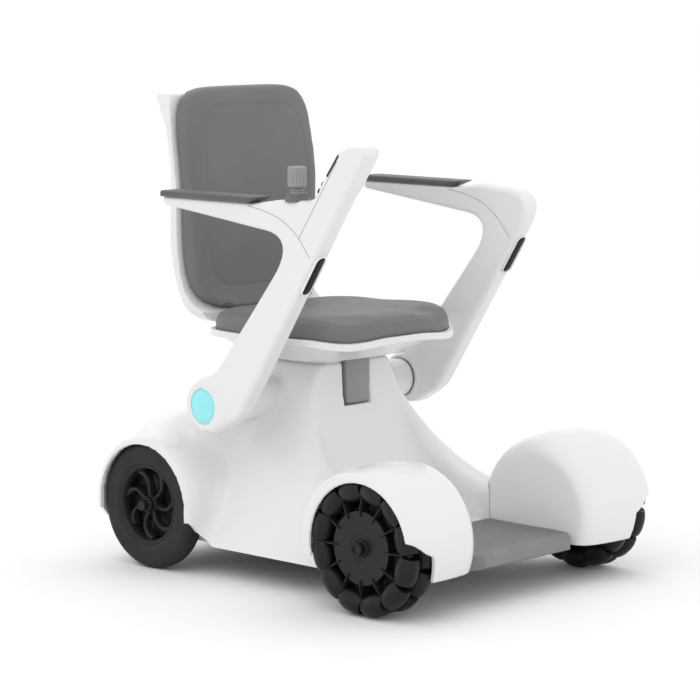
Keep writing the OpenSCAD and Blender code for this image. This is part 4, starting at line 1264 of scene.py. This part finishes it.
def back_outline(x, z, grow):
    """Distance to the back's outline seen from the front, narrower at its top."""
    middle_z = (BACK_LOW_Z + BACK_TOP) / 2
    half_z = (BACK_TOP - BACK_LOW_Z) / 2 + grow
    v = (z - middle_z) / half_z
    half = BACK_HALF + grow + 3 - 3 * smooth_step(v, 0.3, 1.1) - 5 * smooth_step(-v, 0.3, 1.1)
    power = 6.4
    r = (np.abs(x / half) ** power + np.abs(v) ** power + 1e-9) ** (1 / power)
    return (r - 1) * np.hypot(x, z - middle_z) / (r + 1e-9)


def back_cushion_field(x, y, z):
    rear = back_line(z)
    wrap = 3 * (np.abs(x) / BACK_HALF) ** 3
    front = rear - CUSHION_T + 5 + wrap
    side = back_outline(x, z, -5)
    bulge = smooth_max(side, (front - y) * 0.97, 13)
    return round_join(bulge, y - rear, 6)


points, faces = polygonise(back_cushion_field, (-BACK_HALF - 8, 234, BACK_LOW_Z - 6),
                           (BACK_HALF + 8, 384, BACK_TOP + 8), 6.0)
back = make("back_pad", points, faces, CUSHION, "backrest", ["back_cushion"], "cushion_grey",
            sharp=0)
co = np.array([v.co for v in back.data.vertices]) * 1000
inflate(back, 2.4, 0.005, co[:, 1] > back_line(co[:, 2]) - 10)
smooth_points(back, 4)
subdivide(back)


def back_border(x, y, z):
    """A border channel that runs round the face of the back cushion."""
    return back_outline(x, z, -44) + np.where(y < back_line(z) - 14, 0, 99)


press_line(back, back_border, 1.3, 4.0)


# ---------------------------------------------------------------- back shell and seat pan

SHELL_REAR = [(306, 452), (328, 474), (347, 512), (358, 570), (363, 622), (363, 680), (361, 745),
              (364, 790), (376, 845), (394, 884), (410, 912), (416, 924)]


def shell_rear(z):
    line = curve_through(SHELL_REAR, 6)
    return np.interp(z, line[:, 1], line[:, 0])


def back_shell_field(x, y, z):
    """A tray behind the cushion, with a rim round it and a flared lip along its top."""
    front = back_line(z)
    rear = shell_rear(z)
    level = z + 24 * smooth_step(560 - z, 0, 76) - 30 * smooth_step(z, 800, BACK_TOP)
    side = back_outline(x, level, 3)
    face = front + 1.5 - y
    body = round_join(side, y - rear, 8)
    outer = smooth_max(body, face, 4)
    lip = smooth_step(z, 800, 905)
    thin = 9 + 3 * lip
    hollow = np.maximum(side + 7 + 2 * lip, front + thin - y)
    hollow = np.maximum(hollow, 500 - z + 0.4 * (y - 300))
    top = z - BACK_TOP + 20 - 2 * (x / BACK_HALF) ** 4
    return smooth_max(smooth_max(outer, -hollow, 5), top, 5)


points, faces = polygonise(back_shell_field, (-BACK_HALF - 12, 244, BACK_LOW_Z - 46),
                           (BACK_HALF + 12, 430, BACK_TOP + 8), 4.6)
make("back_tray", points, faces, WHITE, "backrest", ["back_shell"], "white_shell")


def seat_pan_field(x, y, z):
    """The white pan under the seat: a lip round the cushion over a bowl that draws in."""
    rim = seat_saddle(x, y) * 0.7
    top = PAN_HIGH[2] + 3 + rim
    lip = np.maximum(seat_outline(x, y, 2), np.abs(z - top + 6.5) - 6.5)
    bowl_in = (top - z - 12) * 1.55
    bowl = seat_outline(x, y - 0.22 * (top - z), -8 - np.maximum(bowl_in, 0))
    bowl = np.maximum(bowl * 0.6, np.maximum(z - top + 12, PAN_LOW[2] - z))
    shape = smooth_min(lip, bowl, 7)
    seat_room = np.maximum(seat_outline(x, y, -5.5), top - 7 - z)
    return smooth_max(shape, -seat_room, 2)


points, faces = polygonise(seat_pan_field, (PAN_LOW[0] - 10, PAN_LOW[1] - 10, PAN_LOW[2] - 8),
                           (PAN_HIGH[0] + 10, PAN_HIGH[1] + 10, PAN_HIGH[2] + 20), 4.2)
make("seat_tray", points, faces, WHITE, "seat", ["seat_pan"], "white_shell")


def tongue_mesh():
    """The grey tongue that hangs from the seat and fills the slot in the pedestal."""
    top, low = PAN_LOW[2] + 3, SLOT_LOW + 3
    centre = np.array([0, (top + low) / 2])
    outline = np.array(fillet([(33, top, 0), (-33, top, 0), (-31, low, 10), (31, low, 10)], 6))
    rings = []
    for y, size in ((11, 0.9), (10, 1), (-3, 1), (-6, 0.98), (-7, 0.93)):
        flat = centre + (outline - centre) * size
        rings.append(np.array([(u, PEDESTAL_FRONT + y, v) for u, v in flat]))
    return loft(rings)


make("seat_tongue", *tongue_mesh(), BRACKET, "seat", (), "bracket_grey")


# ---------------------------------------------------------------- joystick and console

STICK = middle("joystick_gimbal")


def joystick_meshes():
    """Collar, boot and ribbed knob, made upright along X and then stood up."""
    collar = round_profile([(-12, 0, 0), (-12, 23, 1.5), (-7, 23, 2), (-5, 20, 2), (-1, 19.4, 1),
                            (2.5, 19.6, 1), (3, 15.2, 0.5), (-6, 15, 0.5), (-8, 0, 0)], 4)
    boot = round_profile([(1.5, 0, 0), (1.5, 12.8, 1), (4, 12.6, 1.6), (6, 10.5, 1.6), (8, 13.2, 1.4),
                          (10, 12.4, 1.2), (11.5, 8.6, 1.2), (14.5, 8.2, 1), (14.5, 0, 0)], 4)
    knob = round_profile([(14, 0, 0), (14, 13.5, 1.5), (16.5, 17.0, 2), (20, 17.8, 3),
                          (46, 17.6, 4), (51, 16.8, 2.5), (52, 13.5, 2), (51.2, 8, 3),
                          (51, 0, 0)], 5)
    made = []
    for profile, ribs in ((collar, 0), (boot, 0), (knob, 16)):
        points, faces = lathe(profile, (0, 0, 0), 192 if ribs else 72)
        if ribs:
            a = np.arctan2(points[:, 2], points[:, 1])
            along = smooth_step(points[:, 0], 18, 21) * (1 - smooth_step(points[:, 0], 45, 49))
            r = np.hypot(points[:, 1], points[:, 2])
            ridge = np.abs(np.sin(a * ribs / 2)) ** 0.7
            scale = 1 - along * (1 - ridge) * 1.5 / np.maximum(r, 1) * (r > 12)
            points[:, 1] *= scale
            points[:, 2] *= scale
        stood = np.stack([-points[:, 2], points[:, 1], points[:, 0]], 1)
        made.append((stood + STICK, faces))
    return made


collar, boot, knob = joystick_meshes()
make("stick_collar", *collar, BUTTON, "arm_right", ["joystick_base"], "black_plastic")
make("stick_boot", *boot, KNOB, "joystick", ["joystick_stick"], "black_plastic")
make("stick_knob", *knob, KNOB, "joystick", ["joystick_knob"], "knob_grey")

CONSOLE_LEAN = math.radians(53.7)
SCREEN_AT = middle("console_screen")


def console_point(across, up, out):
    """A point on the console's user-facing side: up runs along the face, out leaves it."""
    face_up = np.array([0, -math.cos(CONSOLE_LEAN), math.sin(CONSOLE_LEAN)])
    face_out = np.array([0, math.sin(CONSOLE_LEAN), math.cos(CONSOLE_LEAN)])
    return SCREEN_AT + face_up * up + face_out * out + np.array([1.0, 0, 0]) * across


def panel(half_w, half_l, corner, rows):
    """A rounded rectangle raised through rows of (inset, height)."""
    rings = []
    for inset, out in rows:
        w, l, c = half_w - inset, half_l - inset, max(corner - inset, 0.5)
        outline = fillet([(w, l, c * 1.3), (-w, l, c * 1.3), (-w, -l, c * 1.3), (w, -l, c * 1.3)], 6)
        rings.append(np.array([console_point(u, v, out) for u, v in outline]))
    return loft(rings)


bezel = panel(18.4, 27.5, 5, [(0.6, -4), (0, 0.2), (0.5, 0.8), (1.3, 1.0), (2.0, 0.7)])
make("console_bezel", *bezel, BLACK, "arm_right", (), "black_plastic")
glass = panel(16.2, 25.2, 3.5, [(0.2, -0.5), (0, 0.8), (0.5, 1.1), (1.5, 1.2)])
make("console_glass", *glass, SCREEN, "arm_right", ["console_screen"], "screen_glass")


def button_mesh(node):
    """A domed button with a rounded rim, pressed along the console's face."""
    centre = middle(node)
    rings = []
    for r, out in ((4.2, 1.8), (4.4, 2.2), (4.4, 2.7), (4.1, 3.3), (3.4, 3.6), (2.2, 3.5), (1.0, 3.4)):
        rings.append(button_ring(centre, r, out))
    return loft(rings)


def button_ring(centre, radius, out):
    """A circle round a button's middle, raised from the console's face."""
    turns = np.linspace(0, 2 * math.pi, 36, endpoint=False)
    return np.array([console_point(radius * math.cos(a), radius * math.sin(a), out) for a in turns]
                    ) - SCREEN_AT + centre


def button_collar(node):
    """The raised ring that a button stands in."""
    rows = [(6.8, -2.5), (6.8, 1.2), (6.4, 1.9), (5.4, 2.1), (4.8, 1.6), (4.8, -2.5)]
    points, faces = loft([button_ring(middle(node), r, out) for r, out in rows], False, False)
    last = len(points) - 36
    faces = faces + [(last + k, last + (k + 1) % 36, (k + 1) % 36, k) for k in range(36)]
    return points, faces


BUTTONS = ("power", "horn", "faster", "slower")
make("button_collars", *joined([button_collar(f"button_{name}") for name in BUTTONS]), BLACK,
     "arm_right", (), "black_plastic")
for name in BUTTONS:
    make(f"push_{name}", *button_mesh(f"button_{name}"), BUTTON, f"button_{name}",
         [f"button_{name}"], "button_grey")


# ---------------------------------------------------------------- CAD nodes that stay

KEPT = {
    "chassis_frame": METAL, "lift_column": METAL, "seat_post": METAL, "hinge_pin": METAL,
    "front_axle_left": METAL, "front_axle_right": METAL, "joystick_gimbal": METAL,
    "seat_bracket": BRACKET, "back_bracket": METAL, "belly_plate": BLACK,
    "motor_controller": BLACK, "drive_motor_left": BLACK, "drive_motor_right": BLACK,
    "charge_socket": BLACK, "battery_pack": CASE, "pedestal_cap": WHITE,
}
for name, material in KEPT.items():
    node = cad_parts[name]
    node.data.materials.clear()
    node.data.materials.append(material)


# ---------------------------------------------------------------- floor, light and camera

def studio():
    """A wide pale floor, a bright even sky and three large soft lights."""
    floor_mesh = bpy.data.meshes.new("floor")
    reach = 40
    floor_mesh.from_pydata([(-reach, -reach, 0), (reach, -reach, 0), (reach, reach, 0),
                            (-reach, reach, 0)], [], [(0, 1, 2, 3)])
    floor = bpy.data.objects.new("floor", floor_mesh)
    bpy.context.scene.collection.objects.link(floor)
    material, tree, shader, where = node_tree("floor_paint")
    colour = tint(tree, noise(tree, where, 3, 2), (0.93, 0.93, 0.93), (0.95, 0.95, 0.95))
    tree.links.new(colour, shader.inputs["Base Color"])
    shader.inputs["Roughness"].default_value = 0.9
    shader.inputs["Specular IOR Level"].default_value = 0.1
    floor_mesh.materials.append(material)
    world = bpy.data.worlds.new("studio")
    world.use_nodes = True
    world.node_tree.nodes["Background"].inputs["Color"].default_value = (1, 1, 1, 1)
    world.node_tree.nodes["Background"].inputs["Strength"].default_value = 1.08
    bpy.context.scene.world = world
    target = Vector((0, 0, 0.4))
    for name, place, size, power in (("key", (-3.0, -0.6, 3.2), 2.4, 10),
                                     ("fill", (2.8, -3.2, 1.8), 2.8, 3),
                                     ("rim", (1.5, 3.4, 2.6), 2.4, 6)):
        light = bpy.data.lights.new(name, "AREA")
        light.shape, light.size, light.energy = "SQUARE", size, power
        lamp = bpy.data.objects.new(name, light)
        lamp.location = place
        lamp.rotation_euler = (target - Vector(place)).to_track_quat("-Z", "Y").to_euler()
        bpy.context.scene.collection.objects.link(lamp)
    bpy.context.scene.view_settings.view_transform = "Standard"


def camera():
    data = bpy.data.cameras.new("camera")
    data.sensor_width, data.lens = 36, 149.14
    data.clip_end = 100
    eye = bpy.data.objects.new("camera", data)
    azimuth, elevation = math.radians(46.257), math.radians(7.602)
    look = Vector((math.sin(azimuth) * math.cos(elevation),
                   math.cos(azimuth) * math.cos(elevation), -math.sin(elevation)))
    eye.location = (-4.0265, -3.8021, 1.1649)
    eye.rotation_euler = look.to_track_quat("-Z", "Y").to_euler()
    bpy.context.scene.collection.objects.link(eye)
    bpy.context.scene.camera = eye


studio()
camera()
